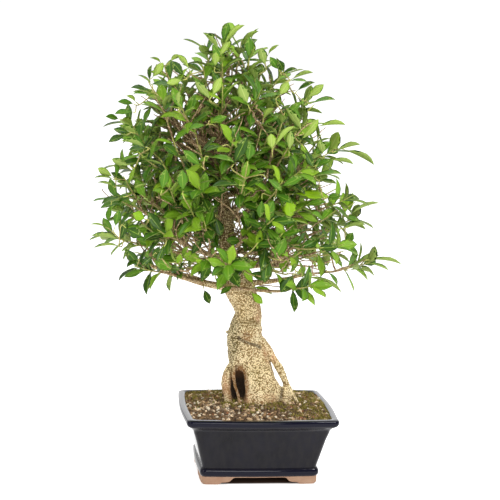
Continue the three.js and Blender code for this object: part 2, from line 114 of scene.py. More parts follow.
def curvePoint(points, t):
    last = len(points) - 1
    spot = min(max(t, 0), 1) * last
    low = min(int(spot), last - 1)
    w = spot - low
    b, c = Vector(points[low]), Vector(points[low + 1])
    a = Vector(points[low - 1]) if low > 0 else b * 2 - c
    d = Vector(points[low + 2]) if low + 2 <= last else c * 2 - b
    return (b * 2 + (c - a) * w + (a * 2 - b * 5 + c * 4 - d) * w * w
            + (b * 3 - a - c * 3 + d) * w * w * w) * 0.5


def curveTangent(points, t):
    ahead, behind = min(t + 0.0001, 1), max(t - 0.0001, 0)
    return (curvePoint(points, ahead) - curvePoint(points, behind)).normalized()


def turned(vector, axis, angle):
    return Quaternion(axis, angle) @ vector


# shader and geometry nodes; work holds the tree that is being built
work = {}


def feed(node, inputs):
    # each input gets a socket to read or a plain value
    for key, value in inputs.items():
        if isinstance(value, bpy.types.NodeSocket):
            node.id_data.links.new(value, node.inputs[key])
        else:
            node.inputs[key].default_value = value


def addNode(kind, inputs=None, **settings):
    node = work["tree"].nodes.new(kind)
    for key, value in settings.items():
        setattr(node, key, value)
    feed(node, inputs or {})
    return node


def colour(red, green, blue):
    def linear(c):
        c /= 255
        return c / 12.92 if c <= 0.04045 else ((c + 0.055) / 1.055) ** 2.4
    return (linear(red), linear(green), linear(blue), 1)


def makeMaterial(name):
    material = bpy.data.materials.new(name)
    material.use_nodes = True
    work["tree"] = material.node_tree
    material.node_tree.nodes.clear()
    shader = addNode("ShaderNodeBsdfPrincipled")
    addNode("ShaderNodeOutputMaterial", {"Surface": shader.outputs[0]})
    return material, shader


def attribute(name):
    return addNode("ShaderNodeAttribute", attribute_name=name).outputs["Fac"]


def stored(name, kind="FLOAT"):
    return addNode("GeometryNodeInputNamedAttribute", {"Name": name}, data_type=kind).outputs[0]


def maths(operation, first, second=0.0):
    return addNode("ShaderNodeMath", {0: first, 1: second}, operation=operation).outputs[0]


def vectors(operation, first, second):
    key = "Scale" if operation == "SCALE" else 1
    return addNode("ShaderNodeVectorMath", {0: first, key: second}, operation=operation).outputs[0]


def partsOf(vector):
    return addNode("ShaderNodeSeparateXYZ", {0: vector}).outputs


def drawn(low, high, seed):
    # a random number, or a random vector where the ends are vectors
    if isinstance(low, tuple):
        ends, kind, socket = {0: low, 1: high}, "FLOAT_VECTOR", 0
    else:
        ends, kind, socket = {2: low, 3: high}, "FLOAT", 1
    return addNode("FunctionNodeRandomValue", {**ends, "Seed": seed}, data_type=kind).outputs[socket]


def spots(scale=(1, 1, 1)):
    where = addNode("ShaderNodeTexCoord").outputs["Object"]
    return addNode("ShaderNodeMapping", {"Vector": where, "Scale": scale}).outputs[0]


def sizedFrom(centre, radii):
    # the way from a place, in parts of a reach along each axis
    where = addNode("ShaderNodeTexCoord").outputs["Object"]
    return vectors("DIVIDE", vectors("SUBTRACT", where, tuple(centre)), tuple(radii))


def noiseOf(where, scale, detail=3.0, rough=0.55):
    return addNode("ShaderNodeTexNoise", {"Vector": where, "Scale": scale, "Detail": detail,
                                          "Roughness": rough}).outputs[0]


def cellsOf(where, scale, randomness=1.0):
    return addNode("ShaderNodeTexVoronoi", {"Vector": where, "Scale": scale, "Randomness": randomness},
                   feature="F1").outputs["Distance"]


def ramp(factor, stops, mode="LINEAR"):
    node = addNode("ShaderNodeValToRGB", {"Fac": factor})
    node.color_ramp.interpolation = mode
    elements = node.color_ramp.elements
    while len(elements) < len(stops):
        elements.new(0.5)
    for element, (position, tone) in zip(elements, stops):
        element.position = position
        element.color = tone
    return node.outputs[0]


def span(value, low, high, to=(0, 1), smooth=False):
    kind = "SMOOTHSTEP" if smooth else "LINEAR"
    return addNode("ShaderNodeMapRange", {0: value, 1: low, 2: high, 3: to[0], 4: to[1]},
                   interpolation_type=kind).outputs[0]


def mixed(factor, first, second):
    return addNode("ShaderNodeMix", {0: factor, 6: first, 7: second}, data_type="RGBA").outputs[2]


def bump(shader, height, distance, strength):
    node = addNode("ShaderNodeBump", {"Height": height, "Distance": distance, "Strength": strength})
    feed(shader, {"Normal": node.outputs[0]})


def geometryTree(name, inputs):
    work["tree"] = bpy.data.node_groups.new(name, "GeometryNodeTree")
    face = work["tree"].interface
    face.new_socket(name="Geometry", in_out="INPUT", socket_type="NodeSocketGeometry")
    for title, kind in inputs.items():
        face.new_socket(name=title, in_out="INPUT", socket_type="NodeSocket" + kind)
    face.new_socket(name="Geometry", in_out="OUTPUT", socket_type="NodeSocketGeometry")
    return addNode("NodeGroupInput").outputs


def endTree(geometry, material):
    real = addNode("GeometryNodeRealizeInstances", {"Geometry": geometry}).outputs[0]
    done = addNode("GeometryNodeSetMaterial", {"Geometry": real, "Material": material}).outputs[0]
    addNode("NodeGroupOutput", {"Geometry": done})
    return work["tree"]


def grown(name, source, tree, values):
    # runs the tree on a source object and keeps the result as a plain mesh
    modifier = source.modifiers.new(name, "NODES")
    modifier.node_group = tree
    for item in tree.interface.items_tree:
        if item.in_out == "INPUT" and item.name in values:
            modifier[item.identifier] = values[item.name]
    mesh = bpy.data.meshes.new_from_object(source.evaluated_get(bpy.context.evaluated_depsgraph_get()))
    source.modifiers.remove(modifier)
    mesh.name = name
    return show(name, mesh)


# camera: the photograph's framing, and where a point falls in it
shot = {"distance": 2177, "azimuth": -7.7, "pitch": 8.3, "focal": 1298, "target": (-20, 0, 384),
        "roll": 2.05, "frame": 500, "sensor": 36}


def shotAxes():
    azimuth, pitch, roll = (math.radians(shot[key]) for key in ("azimuth", "pitch", "roll"))
    back = Vector((math.sin(azimuth) * math.cos(pitch), -math.cos(azimuth) * math.cos(pitch),
                   math.sin(pitch)))
    right = Vector((0, 0, 1)).cross(back).normalized()
    up = back.cross(right)
    return (right * math.cos(roll) + up * math.sin(roll),
            up * math.cos(roll) - right * math.sin(roll), back)


shotRight, shotUp, shotBack = shotAxes()
shotFrom = Vector(shot["target"]) + shotBack * shot["distance"]


def onPhoto(point):
    seen = Vector(point) - shotFrom
    away = -seen.dot(shotBack)
    half = shot["frame"] / 2
    return (half + shot["focal"] * seen.dot(shotRight) / away,
            half - shot["focal"] * seen.dot(shotUp) / away)


def fromPhoto(column, row, depth):
    # the point at that pixel, on the upright plane at that depth
    half = shot["frame"] / 2
    ray = shotRight * ((column - half) / shot["focal"]) - shotUp * ((row - half) / shot["focal"]) - shotBack
    return shotFrom + ray * ((depth - shotFrom.y) / ray.y)


camera = show("camera", bpy.data.cameras.new("camera"))
camera.data.sensor_width = shot["sensor"]
camera.data.lens = shot["sensor"] * shot["focal"] / shot["frame"]
camera.data.clip_end = 50
camera.matrix_world = Matrix((
    (shotRight.x, shotUp.x, shotBack.x, shotFrom.x * mm + potCentre.x),
    (shotRight.y, shotUp.y, shotBack.y, shotFrom.y * mm + potCentre.y),
    (shotRight.z, shotUp.z, shotBack.z, shotFrom.z * mm), (0, 0, 0, 1)))
scene.camera = camera

# studio: white surroundings, a pale floor and soft lamps
studio = {
    "seenAir": 1.05, "frontAir": 0.3, "backAir": 1.15, "floorSize": 60.0, "floorGlow": 0.72,
    "floorTone": (0.76, 0.76, 0.76, 1), "paintedShadowUnderPot": colour(74, 58, 48),
    "lamps": {"keyLamp": ((1.5, -1.9, 2.3), 1.1, 62), "fillLamp": ((-2.2, -1.6, 1.4), 1.4, 22),
              "frontLamp": ((0.2, -3.0, 1.3), 1.2, 24), "topLamp": ((-0.2, 0.3, 2.9), 1.6, 30)},
    "aim": (0, 0, 0.4), "shadeHalf": (0.095, 0.071, 1.0),
}
scene.view_settings.view_transform = "Standard"
scene.view_settings.look = "None"
scene.world = bpy.data.worlds.new("air")
scene.world.use_nodes = True
work["tree"] = scene.world.node_tree
# the room is brighter behind the plant than in front of it, and plain white where the camera sees it
along = partsOf(addNode("ShaderNodeTexCoord").outputs["Generated"])[1]
level = span(along, -0.5, 0.6, (studio["frontAir"], studio["backAir"]), smooth=True)
seen = addNode("ShaderNodeLightPath").outputs["Is Camera Ray"]
strength = maths("ADD", maths("MULTIPLY", level, span(seen, 0, 1, (1, 0))),
                 maths("MULTIPLY", seen, studio["seenAir"]))
feed(work["tree"].nodes["Background"], {"Color": (1, 1, 1, 1), "Strength": strength})
for lampName, (spot, size, power) in studio["lamps"].items():
    lamp = show(lampName, bpy.data.lights.new(lampName, "AREA"))
    lamp.data.shape = "DISK"
    lamp.data.size = size
    lamp.data.energy = power
    lamp.location = spot
    lamp.rotation_mode = "QUATERNION"
    lamp.rotation_quaternion = (Vector(spot) - Vector(studio["aim"])).to_track_quat("Z", "Y")
side = studio["floorSize"] / 2
floor = newPiece("studioFloor", [(-side, -side, 0), (side, -side, 0), (side, side, 0), (-side, side, 0)],
                 [(0, 1, 2, 3)])
floorPaint, shader = makeMaterial("paleFloor")
# the floor's own glow stops under the pot, and its colour darkens there: a painted shadow under the pot
away = addNode("ShaderNodeVectorMath", {0: sizedFrom(potCentre, studio["shadeHalf"])}, operation="ABSOLUTE")
away = partsOf(away.outputs[0])
where = maths("MAXIMUM", away[0], away[1])
feed(shader, {"Base Color": mixed(span(where, 0.9, 1.02), studio["paintedShadowUnderPot"], studio["floorTone"]),
              "Roughness": 0.9, "Specular IOR Level": 0.1, "Emission Color": (1, 1, 1, 1),
              "Emission Strength": span(where, 0.92, 1.04, (0, studio["floorGlow"]))})
floor.data.materials.append(floorPaint)
print("studio set")

# pot: dark navy glaze over a bowed body, on feet of bare clay
pot = {
    "rimWidth": 262.0, "rimDepth": 217.0, "footInset": 31.0, "rimFlat": 12.5,
    "sideBow": 4.5, "frontBow": 5.5, "corner": 9.0, "cornerSteps": 8, "sideSteps": 56,
    "floorTop": 24.0, "floorUnder": 15.0, "crest": 13.2, "apronWidth": 137.0, "apronDepth": 94.0,
    "holeX": 48.0, "holeRadius": 11.0, "holeSteps": 32, "flatAbove": 115.5, "flatInside": 3, "sharpFrom": 40,
    "looks": {"wallGlaze": (0.17, 0.0), "bareClay": None, "rimGlaze": (0.5, 0.8)},
    "clay": [(46, 15), (46, 0.6), (45.4, 0), (35.4, 0), (34, 0.4), (32.6, 1.8), (31.5, 3), (31.3, 4.5),
             (31.4, 14.4)],
    "glazed": [(31.0, 15.0), (29.9, 16.2), (29.0, 18.2), (28.7, 20.6), (28.8, 23.0), (29.5, 25.4),
               (30.8, 27.3), (32.4, 28.8), (32.5, 30.4), (31.6, 33.5), (30.2, 39), (27.3, 49), (23.9, 61.5),
               (19.8, 77), (16.6, 86.5), (14.6, 92.2), (13.9, 95.2), (12.6, 97.6), (10.3, 100.2),
               (7.4, 102.4), (4.4, 104.2), (2.0, 106.2), (0.6, 108.8), (0.1, 111.6), (0.5, 114.3),
               (1.7, 116.3), (3.6, 117.3), (6.5, 117.5), (10.0, 117.4), (11.5, 116.9), (12.3, 115.8),
               (12.6, 113.5), (13.6, 109), (36, 34), (40, 24)],
}


def potPlan(inset):
    halfX, halfY = pot["rimWidth"] / 2 - inset, pot["rimDepth"] / 2 - inset
    bowShare = 1 - inset / (2 * pot["footInset"])
    bows = (pot["sideBow"] * bowShare, pot["frontBow"] * bowShare)
    alongX, alongY = halfX - bows[0] - pot["corner"], halfY - bows[1] - pot["corner"]
    corners = [(1, -1, -90), (1, 1, 0), (-1, 1, 90), (-1, -1, 180)]
    points = []
    for which, (signX, signY, startAngle) in enumerate(corners):
        for step in range(pot["cornerSteps"] + 1):
            angle = math.radians(startAngle + 90 * step / pot["cornerSteps"])
            points.append((signX * alongX + pot["corner"] * math.cos(angle),
                           signY * alongY + pot["corner"] * math.sin(angle)))
        last, following = points[-1], corners[(which + 1) % 4]
        onSide = which % 2 == 0
        for step in range(1, pot["sideSteps"]):
            share = step / pot["sideSteps"]
            swell = bows[0 if onSide else 1] * math.sin(math.pi * share)
            if onSide:
                points.append((last[0] + signX * swell, last[1] + (following[1] * alongY - last[1]) * share))
            else:
                points.append((last[0] + (following[0] * alongX - last[0]) * share, last[1] + signY * swell))
    return points


def apronHeight(x, y, column):
    # height of the opening between two feet above a place on the foot ring
    stretch = pot["cornerSteps"] + pot["sideSteps"]
    which, step = divmod(column, stretch)
    if step <= pot["cornerSteps"]:
        return 0
    width, along = (pot["apronDepth"], y) if which % 2 == 0 else (pot["apronWidth"], x)
    inward = width / 2 - abs(along)
    crest = pot["crest"]
    rise = [(0, 0), (5, 0.34 * crest), (13, 0.34 * crest + 0.6), (17, 0.34 * crest + 1.2),
            (20, 0.55 * crest), (21, 0.68 * crest), (22.5, 0.86 * crest), (25, 0.97 * crest), (29, crest)]
    return float(np.interp(inward, *zip(*rise)))


def makePot():
    rows = [("clay", *row) for row in pot["clay"]] + [("glazed", *row) for row in pot["glazed"]]
    columns = len(potPlan(0))
    wall, bare, rimTop = range(len(pot["looks"]))
    bm = bmesh.new()
    made = []
    for part, inset, height in rows:
        for column, (x, y) in enumerate(potPlan(inset)):
            lifted = max(height, apronHeight(x, y, column)) if part == "clay" else height
            made.append(bm.verts.new((x, y, lifted)))
    for row, (part, inset, height) in enumerate(rows[1:]):
        flat = height > pot["flatAbove"] and inset > pot["flatInside"]
        look = rimTop if flat else wall if part == "glazed" else bare
        for column in range(columns):
            a, b = row * columns + column, row * columns + (column + 1) % columns
            bm.faces.new([made[i] for i in (a, a + columns, b + columns, b)]).material_index = look
    rims = {"under": (made[:columns], pot["floorUnder"], bare),
            "top": (made[-columns:], pot["floorTop"], wall)}
    rings = {}
    for part, (rim, height, look) in rims.items():
        edges = [bm.edges.get((rim[i], rim[(i + 1) % columns])) for i in range(columns)]
        rings[part] = []
        for sideX in (-1, 1):
            turns = [2 * math.pi * i / pot["holeSteps"] for i in range(pot["holeSteps"])]
            ring = [bm.verts.new((sideX * pot["holeX"] + pot["holeRadius"] * math.cos(t),
                                  pot["holeRadius"] * math.sin(t), height)) for t in turns]
            edges += [bm.edges.new((ring[i], ring[(i + 1) % len(ring)])) for i in range(len(ring))]
            rings[part].append(ring)
        filled = bmesh.ops.triangle_fill(bm, use_beauty=True, edges=edges,
                                         normal=(0, 0, -1 if part == "under" else 1))
        for face in filled["geom"]:
            if isinstance(face, bmesh.types.BMFace):
                face.material_index = look
    for under, top in zip(rings["under"], rings["top"]):
        for i in range(len(under)):
            j = (i + 1) % len(under)
            bm.faces.new((under[i], under[j], top[j], top[i])).material_index = bare
    bmesh.ops.recalc_face_normals(bm, faces=bm.faces)
    mesh = bpy.data.meshes.new("potBody")
    bm.to_mesh(mesh)
    bm.free()
    mesh.transform(Matrix.Diagonal((mm, mm, mm, 1)))
    mesh.transform(Matrix.Translation(potCentre))
    mesh.shade_smooth()
    mesh.set_sharp_from_angle(angle=math.radians(pot["sharpFrom"]))
    return show("potBody", mesh)


def makeGlaze(name, specular, coat):
    material, shader = makeMaterial(name)
    where = spots()
    streaks = noiseOf(spots((1, 1, 0.25)), 120, 3)
    tone = ramp(noiseOf(where, 26, 4), [(0.3, colour(14, 13, 17)), (0.7, colour(22, 21, 30))])
    dark = mixed(span(streaks, 0.35, 0.7), tone, colour(27, 25, 28))
    # the glaze pools bluer on the rounded lip and on the bead round the foot
    height = partsOf(where)[2]
    blue = maths("MAXIMUM", span(height, 0.104, 0.110, smooth=True), span(height, 0.029, 0.025, smooth=True))
    feed(shader, {"Base Color": mixed(blue, dark, colour(11, 11, 27)),
                  "Roughness": span(noiseOf(where, 60, 2), 0.3, 0.7, (0.05, 0.12)),
                  "IOR": 1.52, "Specular IOR Level": specular, "Coat Weight": coat})
    bump(shader, noiseOf(where, 70, 2), 0.0006, 0.35)
    return material


def makeClay():
    material, shader = makeMaterial("bareClay")
    where = spots()
    grit = noiseOf(where, 900, 3, 0.7)
    tone = ramp(noiseOf(where, 45, 3), [(0.3, colour(146, 112, 90)), (0.7, colour(160, 130, 107))])
    feed(shader, {"Base Color": mixed(span(grit, 0.62, 0.72), tone, colour(128, 88, 66)),
                  "Roughness": 0.85, "Specular IOR Level": 0.3})
    bump(shader, grit, 0.0004, 0.5)
    return material


potBody = makePot()
for look, values in pot["looks"].items():
    potBody.data.materials.append(makeGlaze(look, *values) if values else makeClay())
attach(potBody, "root")
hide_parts("pot")
print("pot made")

# drain screens: the frame's own solids in matt black plastic
screenPaint, shader = makeMaterial("screenPlastic")
weave = noiseOf(spots(), 1500, 2)
feed(shader, {"Base Color": ramp(weave, [(0.3, colour(26, 28, 27)), (0.7, colour(40, 43, 41))]),
              "Roughness": 0.6})
bump(shader, weave, 0.0002, 0.4)
for name in ("drain_screen_1", "drain_screen_2"):
    screen = frame["nodes"][name]
    screen.data.materials.clear()
    screen.data.materials.append(screenPaint)

# soil: a mounded fill with loose granules, and moss behind, at the right and round the roots
soil = {
    "atRim": 113.5, "rise": 13.5, "centre": (2, 24), "spread": (78, 62), "drawnIn": 0.7,
    "bottom": 25.9, "rings": 64, "lumps": 1.5, "lumpSize": 17, "sink": 1.6, "seed": 3, "mossShare": 0.45,
    # what lies on it: gap, smallest and largest size, then the palest tint and the roundness of grains
    "covers": {"soilGranules": (5.2, 2.9, 4.7, {"Palest": 1.0, "Detail": 2}),
               "soilGrit": (3.3, 0.8, 1.7, {"Palest": 0.36, "Detail": 1}),
               "soilMoss": (1.4, 4.4, 7.6, {})},
    "roughScale": 330.0, "roughness": 0.0055, "mossWidth": 0.13,
}


def soilHeight(x, y):
    east = (x - soil["centre"][0]) / soil["spread"][0]
    north = (y - soil["centre"][1]) / soil["spread"][1]
    mound = soil["rise"] * math.exp(-east * east - north * north)
    lump = noise.noise(Vector((x, y, 0)) / soil["lumpSize"])
    return soil["atRim"] + mound + soil["lumps"] * lump


def mossCover(x, y):
    # how mossy a place is: behind, at the right and close round the roots
    patch = noise.noise(Vector((x / 18, y / 18, 4.0))) + 0.9 * noise.noise(Vector((x / 6, y / 6, 9.0)))
    behind = (y - 10) / 60
    right = (x - 40) / 60
    ring = 1.1 - abs(math.hypot((x - 12) / 1.5, y - 14) - 38) / 22
    return min(max(0.75 * max(behind, right, ring, -1.0) + 1.1 * patch - 0.02, 0), 1)


def makeSoilBed():
    rim = potPlan(pot["rimFlat"] + soil["drawnIn"])[::2]
    columns = len(rim)
    verts, faces, cover = [], [], []
    for ring in range(soil["rings"]):
        share = 1 - ring / soil["rings"]
        for x, y in rim:
            x, y = x * share, y * share
            verts.append((x, y, soilHeight(x, y) - (soil["sink"] if ring == 0 else 0)))
            cover.append(mossCover(x, y))
    verts.append((0, 0, soilHeight(0, 0)))
    cover.append(mossCover(0, 0))
    for ring in range(soil["rings"] - 1):
        for column in range(columns):
            a, b = ring * columns + column, ring * columns + (column + 1) % columns
            faces.append((a, b, b + columns, a + columns))
    last = (soil["rings"] - 1) * columns
    middle = len(verts) - 1
    faces += [(last + i, last + (i + 1) % columns, middle) for i in range(columns)]
    topFaces = len(faces)
    foot = potPlan(pot["footInset"] + 10)[::2]
    start = len(verts)
    verts += [(x, y, soil["bottom"]) for x, y in foot]
    cover += [0.0] * columns
    faces += [(i, start + i, start + (i + 1) % columns, (i + 1) % columns) for i in range(columns)]
    faces.append([start + columns - 1 - i for i in range(columns)])
    bed = newPiece("soilBed", place(verts), faces)
    setNumbers(bed.data, "moss", cover)
    setNumbers(bed.data, "top", [i < topFaces for i in range(len(faces))], "FLOAT", "FACE")
    return bed


def makeGrainPaint():
    material, shader = makeMaterial("soilGranules")
    tones = [(0.0, colour(104, 76, 48)), (0.12, colour(138, 106, 72)), (0.26, colour(82, 60, 40)),
             (0.38, colour(158, 124, 86)), (0.5, colour(214, 180, 140)), (0.6, colour(98, 73, 52)),
             (0.7, colour(248, 220, 182)), (0.8, colour(152, 130, 106)), (0.9, colour(255, 240, 212)),
             (0.965, colour(160, 98, 64)), (0.985, colour(240, 226, 202))]
    grit = noiseOf(spots(), 1400, 3, 0.65)
    upward = partsOf(addNode("ShaderNodeNewGeometry").outputs["Normal"])[2]
    base = ramp(attribute("tint"), tones, "CONSTANT")
    # painted shade: the sides and undersides of grains are darkened, their tops left light
    shaded = mixed(span(upward, 0.8, 0.0, (0, 0.92)), base, colour(38, 25, 15))
    dusty = mixed(span(grit, 0.45, 0.75, (0, 0.3)), shaded, colour(214, 190, 156))
    feed(shader, {"Base Color": mixed(span(grit, 0.5, 0.34, (0, 0.85)), dusty, colour(40, 27, 17)),
                  "Roughness": 0.9, "Specular IOR Level": 0.25})
    bump(shader, grit, 0.0004, 0.7)
    return material


def makeBedPaint():
    material, shader = makeMaterial("soilBedEarthAndGapShade")
    crumbs = noiseOf(spots(), 420, 4, 0.7)
    # dark earth, painted near black as well for the shade in the gaps between the grains
    tone = ramp(crumbs, [(0.3, colour(14, 9, 6)), (0.5, colour(30, 21, 14)), (0.72, colour(60, 44, 29))])
    feed(shader, {"Base Color": mixed(span(attribute("moss"), 0.1, 0.6, (0, 0.5)), tone, colour(64, 58, 26)),
                  "Roughness": 0.95, "Specular IOR Level": 0.2})
    bump(shader, crumbs, 0.002, 0.8)
    return material


def makeMossPaint():
    material, shader = makeMaterial("oliveMoss")
    tone = ramp(attribute("tint"), [(0, colour(92, 86, 30)), (0.45, colour(134, 128, 54)),
                                    (0.8, colour(172, 164, 82)), (1, colour(186, 158, 104))])
    shade = noiseOf(spots(), 60, 3)
    feed(shader, {"Base Color": mixed(span(shade, 0.35, 0.65, (0, 0.5)), tone, colour(104, 84, 44)),
                  "Roughness": 0.9, "Specular IOR Level": 0.2})
    return material


def sprinkled(given, thing, share, densest, turn, size, palest, seed):
    # copies of a thing on the bed's top, each with a turn, a size and a tint of its own
    points = addNode("GeometryNodeDistributePointsOnFaces",
                     {"Mesh": given["Geometry"], "Selection": stored("top"), "Distance Min": given["Gap"],
                      "Density Max": densest, "Density Factor": share, "Seed": given["Seed"]},
                     distribute_method="POISSON").outputs["Points"]
    copies = addNode("GeometryNodeInstanceOnPoints",
                     {"Points": points, "Instance": thing, "Rotation": turn, "Scale": size}).outputs[0]
    return addNode("GeometryNodeStoreNamedAttribute",
                   {"Geometry": copies, "Name": "tint", "Value": drawn(0.0, palest, seed)},
                   domain="INSTANCE").outputs[0]


def grainTree(material):
    given = geometryTree("scatterGrains", {"Gap": "Float", "Smallest": "Float", "Largest": "Float",
                                           "Palest": "Float", "Detail": "Int", "Seed": "Int"})
    bare = maths("SUBTRACT", 1.0, maths("MULTIPLY", stored("moss"), soil["mossShare"]))
    ball = addNode("GeometryNodeMeshIcoSphere", {"Radius": 1.0, "Subdivisions": given["Detail"]}).outputs[0]
    turn = drawn((0, 0, 0), (6.28, 6.28, 6.28), 11)
    size = vectors("SCALE", drawn((0.8, 0.6, 0.55), (1.25, 1.1, 0.95), 13),
                   drawn(given["Smallest"], given["Largest"], 12))
    stones = sprinkled(given, ball, bare, 3e5, turn, size, given["Palest"], 14)
    real = addNode("GeometryNodeRealizeInstances", {"Geometry": stones}).outputs[0]
    rough = addNode("ShaderNodeTexNoise", {"Vector": addNode("GeometryNodeInputPosition").outputs[0],
                                           "Scale": soil["roughScale"], "Detail": 1.0}).outputs[1]
    shift = vectors("SCALE", vectors("SUBTRACT", rough, (0.5, 0.5, 0.5)), soil["roughness"])
    moved = addNode("GeometryNodeSetPosition", {"Geometry": real, "Offset": shift}).outputs[0]
    return endTree(moved, material)


def mossTree(material):
    given = geometryTree("growMoss", {"Gap": "Float", "Smallest": "Float", "Largest": "Float", "Seed": "Int"})
    spike = addNode("GeometryNodeMeshCone",
                    {"Vertices": 3, "Radius Top": 0.0, "Radius Bottom": soil["mossWidth"], "Depth": 1.0},
                    fill_type="TRIANGLE_FAN").outputs[0]
    turn = drawn((-0.9, -0.9, 0), (0.9, 0.9, 6.28), 21)
    size = drawn(given["Smallest"], given["Largest"], 22)
    return endTree(sprinkled(given, spike, stored("moss"), 2e6, turn, size, 1.0, 23), material)


soilBed = makeSoilBed()
soilBed.data.materials.append(makeBedPaint())
scatter = grainTree(makeGrainPaint())
growers = {"soilGranules": scatter, "soilGrit": scatter, "soilMoss": mossTree(makeMossPaint())}
soilPieces = [soilBed]
for number, (name, (gap, smallest, largest, others)) in enumerate(soil["covers"].items()):
    soilPieces.append(grown(name, soilBed, growers[name], {
        "Gap": gap * mm, "Smallest": smallest * mm, "Largest": largest * mm, "Seed": soil["seed"] + number,
        **others}))
for piece in soilPieces:
    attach(piece, "root")
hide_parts("soil")
for piece in soilPieces[1:]:
    print(piece.name, len(piece.data.polygons), "faces")
print("soil made")

# wood: centre lines as x, y, z and radius
wood = {
    "trunk": [(2, 25, 66, 27), (2, 24, 90, 40), (1, 24, 108, 43), (0, 24, 122, 42), (-3, 24, 144, 40),
              (-6, 24, 162, 37.5), (-9, 24, 179, 36), (-14, 24, 197, 33.5), (-18, 24, 213, 32.5),
              (-21, 24, 228, 31), (-21, 23, 240, 28), (-18, 23, 256, 24.5), (-15.5, 22, 271, 22.3),
              (-18, 22, 283, 22.5), (-25, 21, 298, 24.5), (-33, 20, 314, 25), (-40, 20, 331, 22),
              (-48, 19, 347, 17.5), (-54, 18, 362, 14.5), (-57, 17, 378, 12.5), (-57, 16, 405, 12),
              (-60, 15, 437, 11.7), (-67, 14, 468, 11), (-70, 13, 500, 9.5), (-73, 11, 540, 7.5),
              (-70, 10, 590, 5.2), (-66, 11, 640, 3.8), (-65, 12, 692, 2.2)],
    "roots": {
        "aerial": [(-8, 14, 236, 8), (9, 11, 224, 8), (20, 9, 208, 7.4), (31, 8, 191, 6.4), (41, 8, 175, 6.5),
                   (49.5, 9, 158, 6.2), (55, 11, 141, 6.6), (59, 12, 124, 7.5), (62, 12, 98, 8)],
        "aerialFork": [(54, 10, 150, 4), (64, 6, 134, 3.4), (72, 3, 118, 3), (76, 2, 100, 2.6)],
        "aerialFront": [(55, 9, 146, 4), (52, -2, 130, 3.2), (53, -9, 116, 3), (53, -12, 100, 2.6)],
        "leftLobe": [(-36, 16, 190, 7), (-46, 11, 175, 8), (-50, 8, 160, 10), (-50, 6, 146, 10.3),
                     (-47, 5, 130, 8), (-46, 4, 100, 7)],
        "rightFlare": [(12, 6, 166, 13), (22, 4, 152, 14.5), (29.5, 3, 141, 14.5), (29, 3, 126, 12.5),
                       (26, 4, 98, 10)],
        "rightStep": [(28, 3, 137, 12), (46, 4, 134, 13)],
        "frontFlare": [(2, -2, 140, 15), (6, -10, 124, 12), (8, -14, 106, 10)],
        "backFlare": [(-10, 46, 138, 14), (-16, 58, 120, 10), (-20, 64, 100, 8)],
    },
    "acrossHollow": {
        "thinRoot": [(-40, 2, 194, 3), (-41, -2, 180, 2.5), (-41, -5, 166, 2.4), (-38, -7, 152, 2.4),
                     (-33, -9, 138, 2.6), (-30, -12, 122, 2.8), (-28, -14, 102, 2.6)],
        "innerRoot": [(-21, -5, 174, 3), (-18.5, -9, 152, 3.2), (-17, -13, 134, 3.6), (-15, -16, 118, 3.4),
                      (-13, -18, 100, 3)],
    },
    "hollow": ((-31, -3, 149), (13, 20, 29)), "bulge": ((-16, 6, 248), (22.5, 24, 17)),
    "knob": ((-23, -15, 239), (7, 7, 6)),
    "peg": [(-46, 18, 238, 5), (-51.5, 16.5, 240, 2.6), (-54, 16, 241, 1.2)],
    "limbs": [(316, 184, 150, 352, 7.5), (322, 350, 118, 345, 6), (344, 262, 112, 372, 5.5),
              (352, 306, 128, 384, 5.5), (360, 222, 132, 390, 5.5), (348, 95, 120, 376, 5.5),
              (366, 140, 132, 394, 5.5), (372, 42, 132, 390, 5.5), (430, 172, 136, 472, 5.5),
              (438, 8, 136, 466, 5.5), (446, 285, 112, 484, 5), (455, 75, 112, 484, 5),
              (466, 235, 112, 508, 5), (474, 330, 112, 506, 5), (482, 120, 112, 514, 5),
              (530, 163, 92, 612, 5), (536, 12, 82, 602, 5), (542, 268, 70, 618, 4.5),
              (548, 92, 72, 622, 4.5)],
    "limbBend": 0.06, "limbTaper": 0.62, "limbStub": 46,
    "crease": [(-34, -3, 234), (-30, -6, 231.5), (-22, -9, 228), (-12, -8.5, 225.5), (-3, -5, 222.5),
               (4, -1, 217.5)],
    "slit": [(45, 4, 154), (44, -2, 148), (42.5, -7, 140), (41.5, -9.5, 132), (41.5, -10, 126)],
    "creaseRadius": 2.6, "lip": ((2, -3.5, 8), 6), "paintedShadeLeftSide": ((-58, 4, 232), (30, 40, 62)),
    "blush": [[(2, 0, 268), (6, 4, 300)], [(17, 2, 210), (24, 2, 198)], [(-14, -12, 129), (24, -12, 127)],
              [(-53, 0, 162), (-53, -2, 140)]],
    # the block of space that the trunk is shaped in, its step, and how softly each part runs into the rest
    "space": ((-118, 98), (-58, 96), (92, 470)), "step": 1.5, "farOff": 60.0,
    "soft": {"stem": 4, "bulge": 5, "root": 4, "aerial": 3, "limb": 5, "crease": 2, "lip": 3, "knob": 2,
             "hollow": 2, "acrossHollow": 2, "peg": 3},
    # bark relief: grain size, its stretch sideways and upward, and how far it stands out
    "sinew": (15, 1, 0.35, 1.5), "wrinkle": (7, 0.5, 1.4, 0.7), "dots": (4.6, 1, 1.2, 0.75),
}


def trunkAt(height):
    rows = np.array(wood["trunk"])
    return Vector([float(np.interp(height, rows[:, 2], rows[:, i])) for i in range(3)])


def limbLine(limb):
    height, bearing, reach, tipHeight, radius = limb
    angle = math.radians(bearing)
    out = Vector((math.cos(angle), math.sin(angle), 0))
    aside = Vector((-out.y, out.x, 0))
    rise = tipHeight - height
    bend = wood["limbBend"] * reach * math.sin(bearing * 3 + height)
    line = []
    for share in (0, 0.3, 0.65, 1):
        spot = trunkAt(height) + out * reach * share + aside * bend * math.sin(1.4 * math.pi * share)
        spot.z += rise * (0.35 * share + 0.65 * share * share)
        line.append((*spot, radius * (1 - wood["limbTaper"] * share)))
    return line


def finer(line, steps):
    points = [Vector(p[:3]) for p in line]
    radii = [p[3] for p in line]
    return [(*curvePoint(points, i / steps), blend(radii, i / steps)) for i in range(steps + 1)]


